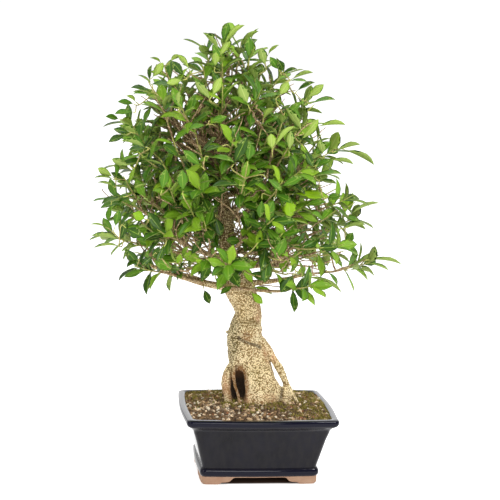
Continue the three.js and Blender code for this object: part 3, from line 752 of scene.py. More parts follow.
def softUnion(first, second, soft):
    h = np.clip(0.5 + 0.5 * (second - first) / soft, 0, 1)
    return second * (1 - h) + first * h - soft * h * (1 - h)


def boxOf(axes, low, high):
    return tuple(slice(int(np.searchsorted(axis, a)), int(np.searchsorted(axis, b)))
                 for axis, a, b in zip(axes, low, high))


def addTube(field, axes, line, soft, carve=False):
    points = np.array(line)
    margin = 3 * soft + 4
    reach = points[:, 3].max() + margin
    part = boxOf(axes, points[:, :3].min(0) - reach, points[:, :3].max(0) + reach)
    x, y, z = np.meshgrid(*(axis[s] for axis, s in zip(axes, part)), indexing="ij", sparse=True)
    if 0 in np.broadcast_shapes(x.shape, y.shape, z.shape):
        return
    near = np.full(np.broadcast_shapes(x.shape, y.shape, z.shape), wood["farOff"], np.float32)
    smallAxes = [axis[s] for axis, s in zip(axes, part)]
    for a, b in zip(points[:-1], points[1:]):
        pad = max(a[3], b[3]) + margin
        sub = boxOf(smallAxes, np.minimum(a[:3], b[:3]) - pad, np.maximum(a[:3], b[:3]) + pad)
        dx, dy, dz = x[sub[0]] - a[0], y[:, sub[1]] - a[1], z[:, :, sub[2]] - a[2]
        along = b[:3] - a[:3]
        t = np.clip((dx * along[0] + dy * along[1] + dz * along[2]) / max(along @ along, 1e-9), 0, 1)
        away = np.sqrt((dx - t * along[0]) ** 2 + (dy - t * along[1]) ** 2 + (dz - t * along[2]) ** 2)
        near[sub] = np.minimum(near[sub], away - (a[3] + (b[3] - a[3]) * t))
    field[part] = -softUnion(-field[part], near, soft) if carve else softUnion(field[part], near, soft)


def addBall(field, axes, centre, radii, soft, carve=False):
    x, y, z = np.meshgrid(*axes, indexing="ij", sparse=True)
    away = np.sqrt(((x - centre[0]) / radii[0]) ** 2 + ((y - centre[1]) / radii[1]) ** 2
                   + ((z - centre[2]) / radii[2]) ** 2)
    near = ((away - 1) * min(radii)).astype(np.float32)
    field[:] = -softUnion(-field, near, soft) if carve else softUnion(field, near, soft)


def skinOf(field, axes):
    # a closed skin of four-sided faces where the field crosses zero
    inside = field < 0
    shape = np.array(field.shape) - 1
    corners = [(i, j, k) for i in (0, 1) for j in (0, 1) for k in (0, 1)]
    counts = sum(inside[i:i + shape[0], j:j + shape[1], k:k + shape[2]].astype(np.int8)
                 for i, j, k in corners)
    cells = np.argwhere((counts > 0) & (counts < 8))
    total, hits = np.zeros((len(cells), 3)), np.zeros(len(cells))
    for a in corners:
        for axis in range(3):
            if a[axis]:
                continue
            b = tuple(1 if n == axis else v for n, v in enumerate(a))
            fa, fb = field[tuple((cells + a).T)], field[tuple((cells + b).T)]
            crossed = (fa < 0) != (fb < 0)
            t = np.where(crossed, fa / np.where(crossed, fa - fb, 1), 0)
            spot = np.array(a, float) + t[:, None] * (np.array(b) - np.array(a))
            total[crossed] += spot[crossed]
            hits[crossed] += 1
    low = np.array([axis[0] for axis in axes])
    step = axes[0][1] - axes[0][0]
    verts = low + step * (cells + total / hits[:, None])
    number = np.full(shape, -1, np.int64)
    number[tuple(cells.T)] = np.arange(len(cells))
    faces = []
    for axis in range(3):
        u, v = (axis + 1) % 3, (axis + 2) % 3
        ahead = np.moveaxis(inside, axis, 0)
        edges = np.argwhere(np.moveaxis(ahead[1:] != ahead[:-1], 0, axis))
        edges = edges[(edges[:, u] > 0) & (edges[:, v] > 0)
                      & (edges[:, u] < shape[u]) & (edges[:, v] < shape[v])]
        quad = []
        for du, dv in ((1, 1), (0, 1), (0, 0), (1, 0)):
            cell = edges.copy()
            cell[:, u] -= du
            cell[:, v] -= dv
            quad.append(number[tuple(cell.T)])
        quad = np.stack(quad, 1)
        flip = inside[tuple(edges.T)]
        quad[~flip] = quad[~flip][:, ::-1]
        faces.append(quad)
    faces = np.concatenate(faces)
    return verts, faces[(faces >= 0).all(1)]


def closeTo(verts, line, near, far):
    # one near the line, fading to nothing further off
    points = np.array(line, float)
    away = np.full(len(verts), 1e9)
    for a, b in zip(points[:-1], points[1:]):
        t = np.clip((verts - a) @ (b - a) / max((b - a) @ (b - a), 1e-9), 0, 1)
        away = np.minimum(away, np.linalg.norm(verts - a - t[:, None] * (b - a), axis=1))
    return np.clip((far - away) / (far - near), 0, 1)


def relief(spot, size, sideways, upward, height, raised=noise.noise):
    return raised(Vector((spot.x * sideways, spot.y * sideways, spot.z * upward)) / size) * height


def dotRise(spot):
    return 0.5 - min(noise.voronoi(spot)[0][0], 1.0)


def makeTrunk():
    soft = wood["soft"]
    axes = [np.arange(low, high, wood["step"], dtype=np.float64) for low, high in wood["space"]]
    field = np.full([len(axis) for axis in axes], wood["farOff"], np.float32)
    addTube(field, axes, finer(wood["trunk"], 90), soft["stem"])
    addBall(field, axes, *wood["bulge"], soft["bulge"])
    for name, line in wood["roots"].items():
        addTube(field, axes, finer(line, 24), soft["aerial" if "aerial" in name else "root"])
    for limb in wood["limbs"]:
        line = finer(limbLine(limb), 20)
        stub = [p for p in line if (Vector(p[:3]) - Vector(line[0][:3])).length < wood["limbStub"]]
        addTube(field, axes, stub, soft["limb"])
    addTube(field, axes, [(*p, wood["creaseRadius"]) for p in wood["crease"]], soft["crease"], carve=True)
    above, thick = wood["lip"]
    addTube(field, axes, [(*np.add(p, above), thick) for p in wood["crease"][1:-1]], soft["lip"])
    addBall(field, axes, *wood["knob"], soft["knob"])
    addBall(field, axes, *wood["hollow"], soft["hollow"], carve=True)
    for line in wood["acrossHollow"].values():
        addTube(field, axes, finer(line, 20), soft["acrossHollow"])
    addTube(field, axes, wood["peg"], soft["peg"])
    for end in (0, -1):
        field[:, :, end] = np.maximum(field[:, :, end], 1)
    verts, faces = skinOf(field, axes)
    body = newPiece("trunkWood", verts, faces)
    normals = np.array([v.normal for v in body.data.vertices])
    lift = [relief(v, *wood["sinew"]) + relief(v, *wood["wrinkle"]) + relief(v, *wood["dots"], dotRise)
            for v in map(Vector, verts)]
    verts = verts + normals * np.array(lift)[:, None]
    centre, radii = (np.array(v) for v in wood["hollow"])
    away = np.linalg.norm((verts - centre) / radii, axis=1)
    # the inside of the hollow's mouth, which carries painted shade
    inHollow = np.clip((1.2 - away) / 0.12, 0, 1) * np.clip((verts[:, 1] + 1) / 5, 0, 1)
    marks = {
        "hollow": inHollow,
        "rust": np.maximum(np.clip((1.5 - away) / 0.35, 0, 1),
                           closeTo(verts, [wood["knob"][0]] * 2, near=5, far=9)),
        # painted shade along the carved crease and along a slit that is only painted
        "crease": np.maximum(closeTo(verts, wood["crease"], near=2.4, far=4.6),
                             closeTo(verts, wood["slit"], near=1.2, far=4.2)),
        "blush": sum(closeTo(verts, line, near=4, far=15) for line in wood["blush"]),
    }
    for name, values in marks.items():
        setNumbers(body.data, name, values)
    body.data.vertices.foreach_set("co", place(verts).astype(np.float32).ravel())
    body.data.update()
    return body


def makeBarkPaint():
    material, shader = makeMaterial("dottedBark")
    where = spots()
    low = spots((1, 1, 1.3))
    height = partsOf(where)[2]
    large = noiseOf(where, 24, 4, 0.6)
    fine = noiseOf(where, 700, 4, 0.65)
    wobble = addNode("ShaderNodeTexNoise", {"Vector": low, "Scale": 260.0, "Detail": 2.0}).outputs[1]
    cells = cellsOf(vectors("ADD", low, vectors("SCALE", wobble, 0.0024)), 365.0, 0.85)
    # olive brown ground, greyer and darker up the tree, with painted shade in the crease
    base = ramp(large, [(0.3, colour(126, 102, 58)), (0.5, colour(146, 118, 72)),
                        (0.7, colour(162, 132, 86))])
    upper = span(height, 0.30, 0.42)
    base = mixed(upper, base, colour(116, 96, 58))
    green = maths("MULTIPLY", span(noiseOf(where, 34, 3), 0.5, 0.68), span(height, 0.24, 0.14))
    base = mixed(maths("MULTIPLY", green, 0.5), base, colour(126, 122, 62))
    # cream dots that nearly run together low on the trunk
    ragged = maths("ADD", cells, maths("MULTIPLY", fine, 0.35))
    size = span(noiseOf(where, 60, 3), 0.3, 0.7, (0.60, 0.78))
    size = maths("ADD", size, span(height, 0.16, 0.32, (0.09, 0.0)))
    dot = addNode("ShaderNodeClamp", {0: maths("MULTIPLY", maths("SUBTRACT", size, ragged), 6.0)}).outputs[0]
    cream = ramp(large, [(0.3, colour(232, 208, 158)), (0.7, colour(254, 240, 200))])
    cream = mixed(upper, cream, colour(230, 210, 162))
    # painted shade: the left side of the trunk is darkened, its ground and its dots alike
    leftShade = sizedFrom(place(wood["paintedShadeLeftSide"][0])[0], [r * mm for r in wood["paintedShadeLeftSide"][1]])
    leftShade = addNode("ShaderNodeVectorMath", {0: leftShade}, operation="LENGTH").outputs["Value"]
    leftShade = span(leftShade, 1.1, 0.7)
    base = mixed(leftShade, base, colour(96, 82, 44))
    cream = mixed(maths("MULTIPLY", leftShade, 0.5), cream, colour(206, 186, 140))
    spotted = mixed(maths("MULTIPLY", dot, 0.9), base, cream)
    cracks = span(ragged, 0.86, 1.05, (0, 0.7))
    spotted = mixed(cracks, spotted, colour(88, 68, 36))
    blush = maths("MULTIPLY", attribute("blush"), span(noiseOf(where, 55, 3), 0.4, 0.6, (0.15, 0.6)))
    spotted = mixed(blush, spotted, colour(190, 134, 96))
    # painted shade: the crease and the slit are darkened like the shadow in a groove
    spotted = mixed(maths("MULTIPLY", attribute("crease"), 0.76), spotted, colour(52, 36, 18))
    spotted = mixed(maths("MULTIPLY", attribute("rust"), 0.68), spotted, colour(124, 76, 42))
    # painted shade inside the hollow: near black below, with the brown inner wall above
    depths = mixed(span(height, 0.158, 0.176), colour(30, 18, 10), colour(108, 72, 44))
    final = mixed(maths("MULTIPLY", attribute("hollow"), 0.93), spotted, depths)
    feed(shader, {"Base Color": final, "Roughness": 0.75, "Specular IOR Level": 0.3})
    rough = maths("ADD", maths("MULTIPLY", dot, 0.8), maths("MULTIPLY", fine, 0.5))
    bump(shader, rough, 0.0011, 0.8)
    return material


barkPaint = makeBarkPaint()
trunkWood = makeTrunk()
trunkWood.data.materials.append(barkPaint)
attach(trunkWood, "root")
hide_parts("trunk")
print("trunk made", len(trunkWood.data.polygons), "faces")

# crown: shoots by rule, each with its leaves, first the frame's own and then the rest
crown = {
    "outline": [(300, -50, 90), (330, -145, 165), (350, -225, 215), (370, -272, 228), (400, -290, 205),
                (460, -286, 198), (520, -276, 176), (570, -268, 138), (620, -256, 120), (665, -228, 102),
                (692, -200, 62), (715, -155, 22), (745, -112, -22), (790, -74, -58)],
    "depthShare": 0.88, "middleY": 12, "count": 45, "lowest": 349, "highest": 771, "firstBearing": 156,
    "golden": 137.508, "heartLift": 170, "heartShare": 0.62, "lowestHeart": 330, "highestHeart": 640,
    "lowCrowding": 1.12, "tipReach": (0.95, 0.07), "upturn": 0.4, "thickest": 3.2, "branchEnd": 1.8,
    "twigLength": 46, "twigRadius": 1.5, "leaves": 9, "lengths": (37, 45), "leans": (66, 26),
    "leanSpread": 12, "faceUp": 0.3, "twigSag": 0.04, "leafReach": 30, "bud": 8, "middle": (-35, 12, 500),
    "ends": (345, 768), "leaderFrom": 560, "branchGap": 0.35, "branchBend": 0.3, "branchShare": 0.8,
    # the shoots between them: how many, how far apart, how deep in the crown, and their twigs and leaves
    "more": 260, "spacing": 31, "tries": 9000, "closerAfter": 5000, "closer": 0.8,
    "depths": (0.42, 0.56, 0.55), "moreTwig": (28, 26), "moreThickest": 2.6, "moreLengths": (30, 44),
    "moreLeaves": (6, 4), "shrinks": (1, 0.88, 0.76), "openBelow": 247, "keptBelow": 0.35,
    "seeds": {"own": 20, "more": 7, "moreLeaves": 500, "loose": 99, "shapes": 41, "bareTwigs": 17},
}
# sky and trunk that show between the leaves in the photograph: column, row, half width, half height
clearings = [
    (334, 193, 8, 11), (103, 242, 9, 4), (311, 112, 6, 6), (159, 269, 9, 5), (306, 79, 7, 5),
    (122, 170, 5, 6), (143, 83, 5, 6), (336, 264, 6, 6), (258, 268, 5, 7), (203, 246, 4, 8),
    (97, 232, 6, 4), (135, 94, 6, 5), (361, 268, 7, 4), (340, 240, 5, 6), (190, 241, 6, 6),
    (331, 241, 5, 5), (107, 190, 4, 5), (359, 252, 4, 4), (188, 57, 6, 4), (142, 237, 5, 5),
    (314, 148, 5, 4), (322, 277, 12, 7), (344, 156, 14, 4), (330, 169, 13, 4), (134, 155, 9, 5),
    (238, 43, 6, 7), (216, 38, 6, 5), (348, 223, 7, 3), (256, 255, 4, 4), (211, 290, 8, 4),
    (228, 222, 12, 34), (232, 250, 12, 14), (240, 284, 17, 12), (275, 287, 9, 4),
]
# where brown twigs show through: leaves in front of the middle are left out there
thickets = [
    (178, 124, 13, 11), (192, 142, 15, 11), (222, 148, 14, 9), (216, 132, 9, 7), (258, 122, 9, 9),
    (168, 112, 8, 6), (150, 205, 12, 7), (178, 238, 10, 8),
]
# the crown's edge in the photograph, clockwise from the top, which no added leaf crosses
crownEdge = [
    (222, 24), (232, 20), (240, 28), (248, 26), (254, 40), (264, 47), (277, 49), (287, 65), (300, 70),
    (312, 74), (325, 84), (333, 100), (318, 112), (344, 124), (331, 136), (331, 145), (353, 150),
    (371, 163), (346, 168), (318, 176), (332, 184), (353, 191), (357, 198), (379, 204), (356, 213),
    (363, 226), (352, 232), (353, 250), (366, 259), (396, 263), (352, 274), (339, 291), (314, 290),
    (304, 299), (290, 294), (275, 292), (264, 303), (240, 297), (225, 291), (213, 302), (203, 301),
    (193, 287), (168, 279), (150, 273), (132, 267), (111, 262), (111, 253), (101, 247), (92, 237),
    (96, 220), (103, 214), (100, 204), (105, 190), (107, 180), (98, 171), (112, 163), (133, 156),
    (124, 150), (109, 142), (115, 132), (109, 124), (105, 116), (119, 104), (121, 98), (133, 88), (139, 76),
    (147, 68), (154, 59), (168, 58), (178, 50), (190, 50), (200, 44), (204, 34), (214, 33),
]


# leaves that stand out in the photograph: tip, foot and seen width there, tone, and depth where known
seenLeaves = [
    (228, 23, 223, 43, 9.5, "g"), (244, 26, 224, 44, 5, "p"), (203, 33, 219, 51, 6, "o"),
    (230, 42, 219, 57, 7.5, "p"), (249, 37, 249, 58, 10, "g"), (177, 55, 189, 69, 6, "p"),
    (163, 63, 152, 78, 9, "p"), (152, 66, 150, 81, 4.5, "d"), (152, 59, 161, 63, 3, "p"),
    (178, 57, 170, 62, 5, "p"), (172, 61, 184, 76, 9, "d"), (167, 83, 183, 80, 8, "p"),
    (131, 88, 151, 92, 5, "d"), (134, 94, 150, 95, 3, "g"), (139, 76, 151, 84, 2.5, "o"),
    (118, 102, 134, 104, 6, "g"), (128, 97, 136, 102, 4, "p"), (107, 117, 119, 119, 6, "g"),
    (115, 114, 133, 112, 6, "g"), (114, 129, 129, 132, 7, "d"), (109, 142, 126, 135, 7, "d"),
    (122, 141, 145, 147, 5, "o"), (129, 150, 147, 149, 6, "d"), (112, 159, 130, 166, 8, "o"),
    (98, 168, 113, 177, 8, "p"), (115, 163, 116, 177, 5, "g"), (95, 178, 113, 179, 2, "o"),
    (99, 183, 113, 186, 3, "o"), (102, 204, 123, 197, 5, "d"), (109, 220, 111, 205, 6, "g"),
    (92, 236, 118, 239, 4, "o"), (92, 225, 105, 227, 2, "p"), (95, 248, 119, 246, 3, "o"),
    (127, 220, 120, 241, 9, "d"), (141, 236, 126, 228, 12, "d"), (129, 266, 138, 260, 5, "d"),
    (143, 264, 153, 256, 8, "d"), (158, 260, 164, 247, 8, "d"), (201, 240, 191, 255, 8, "d", -60),
    (180, 255, 178, 266, 8, "y", -90), (188, 248, 182, 257, 5, "y", -90),
    (221, 235, 216, 217, 11, "d", -45), (226, 240, 242, 241, 10, "g", -50),
    (229, 253, 224, 266, 8, "y", -45), (222, 256, 216, 276, 8, "y", -45), (231, 256, 242, 268, 9, "g", -50),
    (244, 266, 253, 284, 9, "y", -30), (256, 262, 246, 268, 7, "y", -35), (209, 302, 204, 289, 8, "d", 0),
    (221, 294, 233, 286, 6, "g", -20), (216, 279, 224, 284, 7, "g", -25), (271, 294, 253, 287, 6, "y", -25),
    (262, 303, 251, 292, 8, "y", -25), (281, 292, 293, 275, 13, "d", -110),
    (302, 298, 302, 276, 14, "d", -110), (279, 262, 287, 273, 7, "y", -60),
    (338, 291, 308, 277, 2, "o", -20), (336, 284, 328, 272, 4, "g", -30),
    (398, 264, 369, 260, 2.5, "o", -45), (378, 256, 355, 265, 6, "o", -20),
    (367, 272, 349, 270, 2.5, "o", 0), (356, 258, 348, 243, 6, "g", 0), (352, 234, 346, 243, 9, "g", 0),
    (364, 225, 341, 229, 5, "o", 0), (359, 222, 342, 216, 6, "g", 0), (343, 192, 346, 214, 10, "y", -10),
    (353, 193, 350, 212, 7, "b", 5), (377, 204, 351, 214, 2.5, "o", 0),
    (327, 197, 293, 194, 9.5, "b", -110), (290, 217, 289, 197, 15, "b", -125),
    (260, 217, 262, 199, 9, "g", -150), (267, 215, 274, 199, 11, "g", -145), (340, 174, 315, 176, 4, "g"),
    (333, 183, 320, 180, 3, "d"), (302, 177, 281, 187, 9, "g"), (281, 191, 266, 178, 7, "g"),
    (338, 196, 327, 197, 7, "g"), (257, 31, 251, 40, 2.5, "p"), (261, 48, 265, 66, 10, "o"),
    (277, 47, 268, 55, 3.5, "p"), (279, 61, 284, 72, 8, "d"), (270, 57, 279, 70, 8, "g"),
    (295, 70, 282, 74, 4, "d"), (312, 73, 292, 79, 4, "o"), (305, 82, 290, 81, 3, "g"),
    (314, 83, 297, 91, 5, "d"), (323, 85, 307, 98, 9, "p"), (334, 100, 312, 103, 4, "g"),
    (288, 83, 279, 96, 10, "p"), (286, 108, 302, 132, 9, "o"), (318, 120, 301, 140, 11, "p"),
    (344, 125, 319, 126, 5, "p"), (271, 134, 272, 150, 11, "p"), (291, 131, 289, 151, 10, "o"),
    (294, 127, 275, 146, 4, "p"), (247, 137, 234, 164, 12, "d"), (251, 144, 248, 161, 12, "g"),
    (320, 141, 323, 155, 10, "o"), (359, 145, 336, 151, 5, "o"), (372, 164, 345, 150, 4.5, "o"),
    (352, 164, 330, 160, 4, "o"), (330, 161, 317, 165, 6, "g"), (313, 166, 305, 150, 9, "d"),
    (240, 84, 248, 105, 12, "o"), (221, 78, 212, 96, 10, "p"), (195, 81, 211, 101, 9, "o"),
    (180, 92, 179, 107, 6, "o"), (216, 54, 215, 67, 9, "p"), (183, 150, 201, 166, 10, "g"),
    (189, 129, 206, 125, 6, "g"), (226, 117, 210, 121, 8, "g"), (233, 162, 209, 157, 6, "g"),
    (182, 170, 183, 191, 12, "g"), (166, 169, 162, 190, 11, "g"), (212, 187, 239, 185, 6, "d"),
    (134, 214, 145, 219, 11, "y"), (119, 210, 115, 227, 8, "g"), (205, 152, 222, 146, 5, "d"),
]
# how such a leaf is laid, and how near another one may come in front of it
shownLeaf = {
    "frontShare": 0.95, "longer": 1.04, "shortest": 27, "towards": 0.7, "widest": 0.4, "mostRoll": 1.25,
    "flatFrom": 7.5, "foldedFrom": 3.5, "hiding": 7.5, "inFront": 12, "stalk": (1.2, 0.9, 0.6),
}
# what each tone means: tint, share of young yellow green, and whether the underside is seen
seenTones = {"d": (0.1, 0, False), "g": (0.45, 0, False), "y": (0.8, 0.5, False), "b": (1.0, 1.0, False),
             "o": (0.35, 0, True), "p": (0.9, 0.15, True)}

# bare twigs seen under and through the crown: depth, radii at both ends, path in the photograph
seenTwigs = [
    (-20, 2.6, 1.0, [(257, 284), (261, 279), (264, 269), (275, 265), (290, 265), (307, 266), (320, 265),
                     (331, 260), (341, 252)]),
    (-24, 1.2, 0.7, [(306, 266), (322, 270), (335, 271), (350, 267)]),
    (-10, 1.1, 0.8, [(259, 285), (270, 286), (281, 287)]), (-30, 1.2, 0.7, [(263, 279), (277, 281)]),
    (-40, 1.7, 0.9, [(264, 266), (266, 259), (277, 247), (294, 231), (311, 222)]),
    (-30, 1.6, 0.9, [(265, 262), (285, 252), (310, 243), (331, 236)]),
    (-40, 1.0, 2.4, [(137, 240), (146, 252), (157, 260), (170, 264), (181, 276)]),
    (-30, 1.0, 1.6, [(162, 255), (171, 261), (182, 264), (192, 276)]),
    (20, 0.9, 0.8, [(102, 189), (109, 197), (118, 203)]),
    (-120, 0.8, 1.1, [(185, 214), (180, 222), (176, 231), (181, 246)]),
    (-115, 0.8, 1.2, [(156, 197), (167, 202), (182, 214), (196, 232)]),
    (-60, 3.2, 2.0, [(236, 222), (248, 210), (256, 196), (259, 188), (268, 176)]),
]

# leaf blade: a closed thin shell, cuneate at its foot and pointed, with a folded midrib
blade = {
    "stations": [(0, 0.035), (0.1, 0.05), (0.26, 0.5), (0.46, 0.9), (0.66, 0.97), (0.84, 0.62), (0.94, 0.25)],
    "thick": 0.011, "wave": 0.02, "widths": (0.37, 0.14), "rolls": {"own": 0.3, "more": 1.0, "seen": 0.0},
    "youngFrom": 0.88,
    "shapes": {"leafFlat": (0.10, 0.10, 0.0), "leafFolded": (0.26, 0.14, 0.0),
               "leafArched": (0.16, 0.30, 0.0), "leafCurled": (0.20, 0.20, 0.16)},
}


def crownAt(height):
    rows = np.array(crown["outline"], float)
    left, right = (float(np.interp(height, rows[:, 0], rows[:, i])) for i in (1, 2))
    return (left + right) / 2, (right - left) / 2


def outShare(x, y, height):
    # how far out from the crown's middle a place is, as a share of the crown's reach at a height
    middleX, half = crownAt(height)
    return math.hypot((x - middleX) / half, (y - crown["middleY"]) / (half * crown["depthShare"]))


def insideEdge(point):
    column, row = onPhoto(point)
    inside = False
    for (x1, y1), (x2, y2) in zip(crownEdge, crownEdge[1:] + crownEdge[:1]):
        if (y1 > row) != (y2 > row) and column < (x2 - x1) * (row - y1) / (y2 - y1) + x1:
            inside = not inside
    return inside


def shootTowards(tip, upturn, length):
    heart = trunkAt(min(max(crown["heartLift"] + crown["heartShare"] * tip.z, crown["lowestHeart"]),
                        crown["highestHeart"]))
    out = (tip - heart).normalized()
    out.z += upturn
    out.normalize()
    end = tip - out * crown["leafReach"]
    return {"start": end - out * length, "out": out, "end": end, "length": length}


def frameShoots():
    random = makeRandom(crown["seeds"]["own"])
    least, more = crown["tipReach"]
    shoots = []
    for k in range(crown["count"]):
        share = ((k + 0.5) / crown["count"]) ** crown["lowCrowding"]
        height = crown["lowest"] + (crown["highest"] - crown["lowest"]) * share
        bearing = math.radians(crown["firstBearing"] + crown["golden"] * k)
        x, half = crownAt(height)
        reach = half * (least + more * random())
        tip = Vector((x + reach * math.cos(bearing),
                      crown["middleY"] + reach * crown["depthShare"] * math.sin(bearing), height))
        shoots.append(shootTowards(tip, crown["upturn"], crown["twigLength"]))
    return shoots


def crownReach(heading):
    # how far the crown goes from its middle, that way
    middle = Vector(crown["middle"])
    far = 20
    while far < 400:
        spot = middle + heading * far
        if outShare(*spot) > 1 or not crown["ends"][0] < spot.z < crown["ends"][1]:
            break
        far += 4
    return far


def inAny(patches, point):
    column, row = onPhoto(point)
    return any(((column - x) / w) ** 2 + ((row - y) / h) ** 2 < 1 for x, y, w, h in patches)


def leftOut(foot, tip):
    spots = [foot.lerp(tip, share) for share in (0.2, 0.45, 0.75, 1)]
    if not insideEdge(tip) or any(inAny(clearings, spot) for spot in spots):
        return True
    return foot.y < 25 and any(inAny(thickets, spot) for spot in spots[1:3])


def moreShoots(shoots):
    random = makeRandom(crown["seeds"]["more"])
    deepest, shallower, power = crown["depths"]
    shortest, longer = crown["moreTwig"]
    taken = [s["end"] for s in shoots]
    added = []
    for number in range(crown["tries"]):
        if len(added) == crown["more"]:
            break
        level, bearing = 2 * random() - 1, 2 * math.pi * random()
        flat = math.sqrt(1 - level * level)
        heading = Vector((flat * math.cos(bearing), flat * math.sin(bearing), level))
        depth = deepest + shallower * random() ** power
        tip = Vector(crown["middle"]) + heading * crownReach(heading) * depth
        high = min(max((tip.z - 380) / 260, 0), 1)
        upright = 0.05 + 0.4 * high + random() * (0.3 + 0.8 * high) + (0.5 * high if heading.y < -0.2 else 0)
        shoot = shootTowards(tip, upright, shortest + longer * random())
        spread = crown["spacing"] * (1 if number < crown["closerAfter"] - 1 else crown["closer"])
        if min((shoot["end"] - spot).length for spot in taken) < spread or not insideEdge(shoot["end"]):
            continue
        taken.append(shoot["end"])
        added.append(shoot)
    return added


class Wood:
    # places on the wood that a new branch may leave from
    def __init__(self, lines):
        self.spots, self.radii, self.ids = [], [], []
        for line in lines:
            self.add(line, (0.3, 0.45, 0.6, 0.75, 0.9, 1))

    def add(self, line, shares):
        points, radii = [Vector(p[:3]) for p in line], [p[3] for p in line]
        for share in shares:
            self.spots.append(curvePoint(points, share))
            self.radii.append(blend(radii, share))

    def nearest(self, start, out, alignment=1.6):
        spots, heading = np.array(self.spots), np.array(out)
        reach = np.array(start) - spots
        length = np.linalg.norm(reach, axis=1) + 1e-6
        turn = np.arccos(np.clip(reach @ heading / length, -1, 1))
        best = int(np.argmin((length + 25) * (0.6 + alignment * turn * turn)))
        return self.spots[best], self.radii[best]

    def behind(self, start):
        # the place that a stalk reaches with the least of it in sight of the camera
        reach = np.array(self.spots) - np.array(start)
        aside = np.hypot(reach @ np.array(shotRight), reach @ np.array(shotUp))
        best = int(np.argmin(aside * 3 + np.linalg.norm(reach, axis=1)))
        return self.spots[best], self.radii[best]


def sideBranch(shoot, thickest):
    spot, radius = standing.nearest(shoot["start"], shoot["out"])
    to = shoot["start"] - shoot["out"] * crown["branchGap"]
    middle = to - shoot["out"] * crown["branchBend"] * (spot - to).length
    thick = min(radius * crown["branchShare"], thickest)
    end = min(crown["branchEnd"], thick)
    return [(*spot, thick), (*middle, (thick + end) / 2), (*to, end)]


def leafPlace(direction, across, turn, lean):
    aside = turned(across, direction, turn)
    forward = direction * math.cos(lean) + aside * math.sin(lean)
    face = direction + Vector((0, 0, crown["faceUp"]))
    face -= forward * face.dot(forward)
    face.normalize()
    return forward.cross(face), forward, face


def leavesOf(shoot, random, count, kind):
    sag = Vector((0, 0, crown["twigSag"] * shoot["length"]))
    line = [shoot["start"], (shoot["start"] + shoot["end"]) / 2 - sag, shoot["end"]]
    shoot["line"] = line
    twist = math.radians(crown["golden"] - 120)
    found = []
    for k in range(count):
        share = (k + 0.5) / count
        length = blend(crown["lengths" if kind == "own" else "moreLengths"], random())
        random()  # the frame's own rule draws one more number here
        lean = math.radians(blend(crown["leans"], share) + crown["leanSpread"] * random())
        turn = twist * (k + 0.5) + 2 * math.pi / 3 * ((k % 3) + 0.5)
        centre = curvePoint(line, k / count)
        direction = curveTangent(line, k / count)
        across = direction.cross(Vector((0, 0, 1))).normalized()
        basis = leafPlace(direction, across, turn, lean)
        found.append({"at": centre, "basis": basis, "length": length, "kind": kind})
    return found


ownShoots = frameShoots()
limbLines = [limbLine(limb) for limb in wood["limbs"]]
standing = Wood(limbLines + [[p for p in wood["trunk"] if p[2] > crown["leaderFrom"]]])
branches = [sideBranch(shoot, crown["thickest"]) for shoot in ownShoots]
extraShoots = moreShoots(ownShoots)
for shoot in extraShoots:
    shoot["blocks"] = shoot["end"].y < -40 and inAny(clearings, shoot["end"])
for line in branches:
    standing.add(line, (0.35, 0.6, 0.85))
extraBranches = []
for shoot in sorted(extraShoots, key=lambda s: (s["start"] - trunkAt(s["start"].z)).length):
    if shoot["blocks"]:
        continue
    line = sideBranch(shoot, crown["moreThickest"])
    extraBranches.append(line)
    standing.add(line, (0.35, 0.7))

leaves = []
for k, shoot in enumerate(ownShoots):
    leaves += leavesOf(shoot, makeRandom(crown["seeds"]["own"] + k + 1), crown["leaves"], "own")
loose = makeRandom(crown["seeds"]["loose"])
fewest, further = crown["moreLeaves"]
for k, shoot in enumerate(extraShoots):
    count = fewest + int(further * loose())
    for leaf in leavesOf(shoot, makeRandom(crown["seeds"]["moreLeaves"] + k), count, "more"):
        if onPhoto(leaf["at"])[1] > crown["openBelow"] and loose() > crown["keptBelow"] or shoot["blocks"]:
            continue
        for shrink in crown["shrinks"]:
            tip = leaf["at"] + leaf["basis"][1] * leaf["length"] * shrink
            if not leftOut(leaf["at"], tip):
                leaf["length"] *= shrink
                leaves.append(leaf)
                break


def frontDepth(column, row):
    # how far forward the crown's face is at that place in the photograph
    spot = fromPhoto(column, row, crown["middleY"])
    x, half = crownAt(min(max(spot.z, 345), 770))
    aside = (spot.x - x) / half
    deep = half * crown["depthShare"] * shownLeaf["frontShare"]
    return crown["middleY"] - deep * math.sqrt(max(1 - aside * aside, 0.02))


def seenLeaf(row):
    # a leaf laid where the photograph shows it: turned about its length until it looks as wide
    tipX, tipY, footX, footY, wide, tone = row[:6]
    middleX, middleY = (tipX + footX) / 2, (tipY + footY) / 2
    depth = row[6] if len(row) > 6 else frontDepth(middleX, middleY)
    at, end = fromPhoto(footX, footY, depth), fromPhoto(tipX, tipY, depth)
    towards = (shotFrom - at).normalized()
    flat = end - at
    length = max(flat.length * shownLeaf["longer"], shownLeaf["shortest"])
    rest = math.sqrt(max(length ** 2 - flat.length ** 2, 0))
    forward = (flat + towards * shownLeaf["towards"] * rest).normalized()
    width = wide * (shotFrom - at).dot(shotBack) / shot["focal"]
    fullWidth = max(width, shownLeaf["widest"] * length)
    roll = min(math.acos(width / fullWidth), shownLeaf["mostRoll"])
    tint, young, underside = seenTones[tone]
    level = (towards - forward * towards.dot(forward)).normalized() * (-1 if underside else 1)
    face = max((turned(level, forward, angle) for angle in (roll, -roll)), key=lambda v: v.z)
    shape = 0 if wide > shownLeaf["flatFrom"] else 1 if wide > shownLeaf["foldedFrom"] else 2
    arch = list(blade["shapes"].values())[shape][1]
    forward = (forward + face * arch).normalized()
    face = (face - forward * face.dot(forward)).normalized()
    return {"at": at, "basis": (forward.cross(face), forward, face), "length": length, "width": fullWidth,
            "kind": "seen", "tint": tint, "young": young, "shape": shape, "spot": (middleX, middleY)}


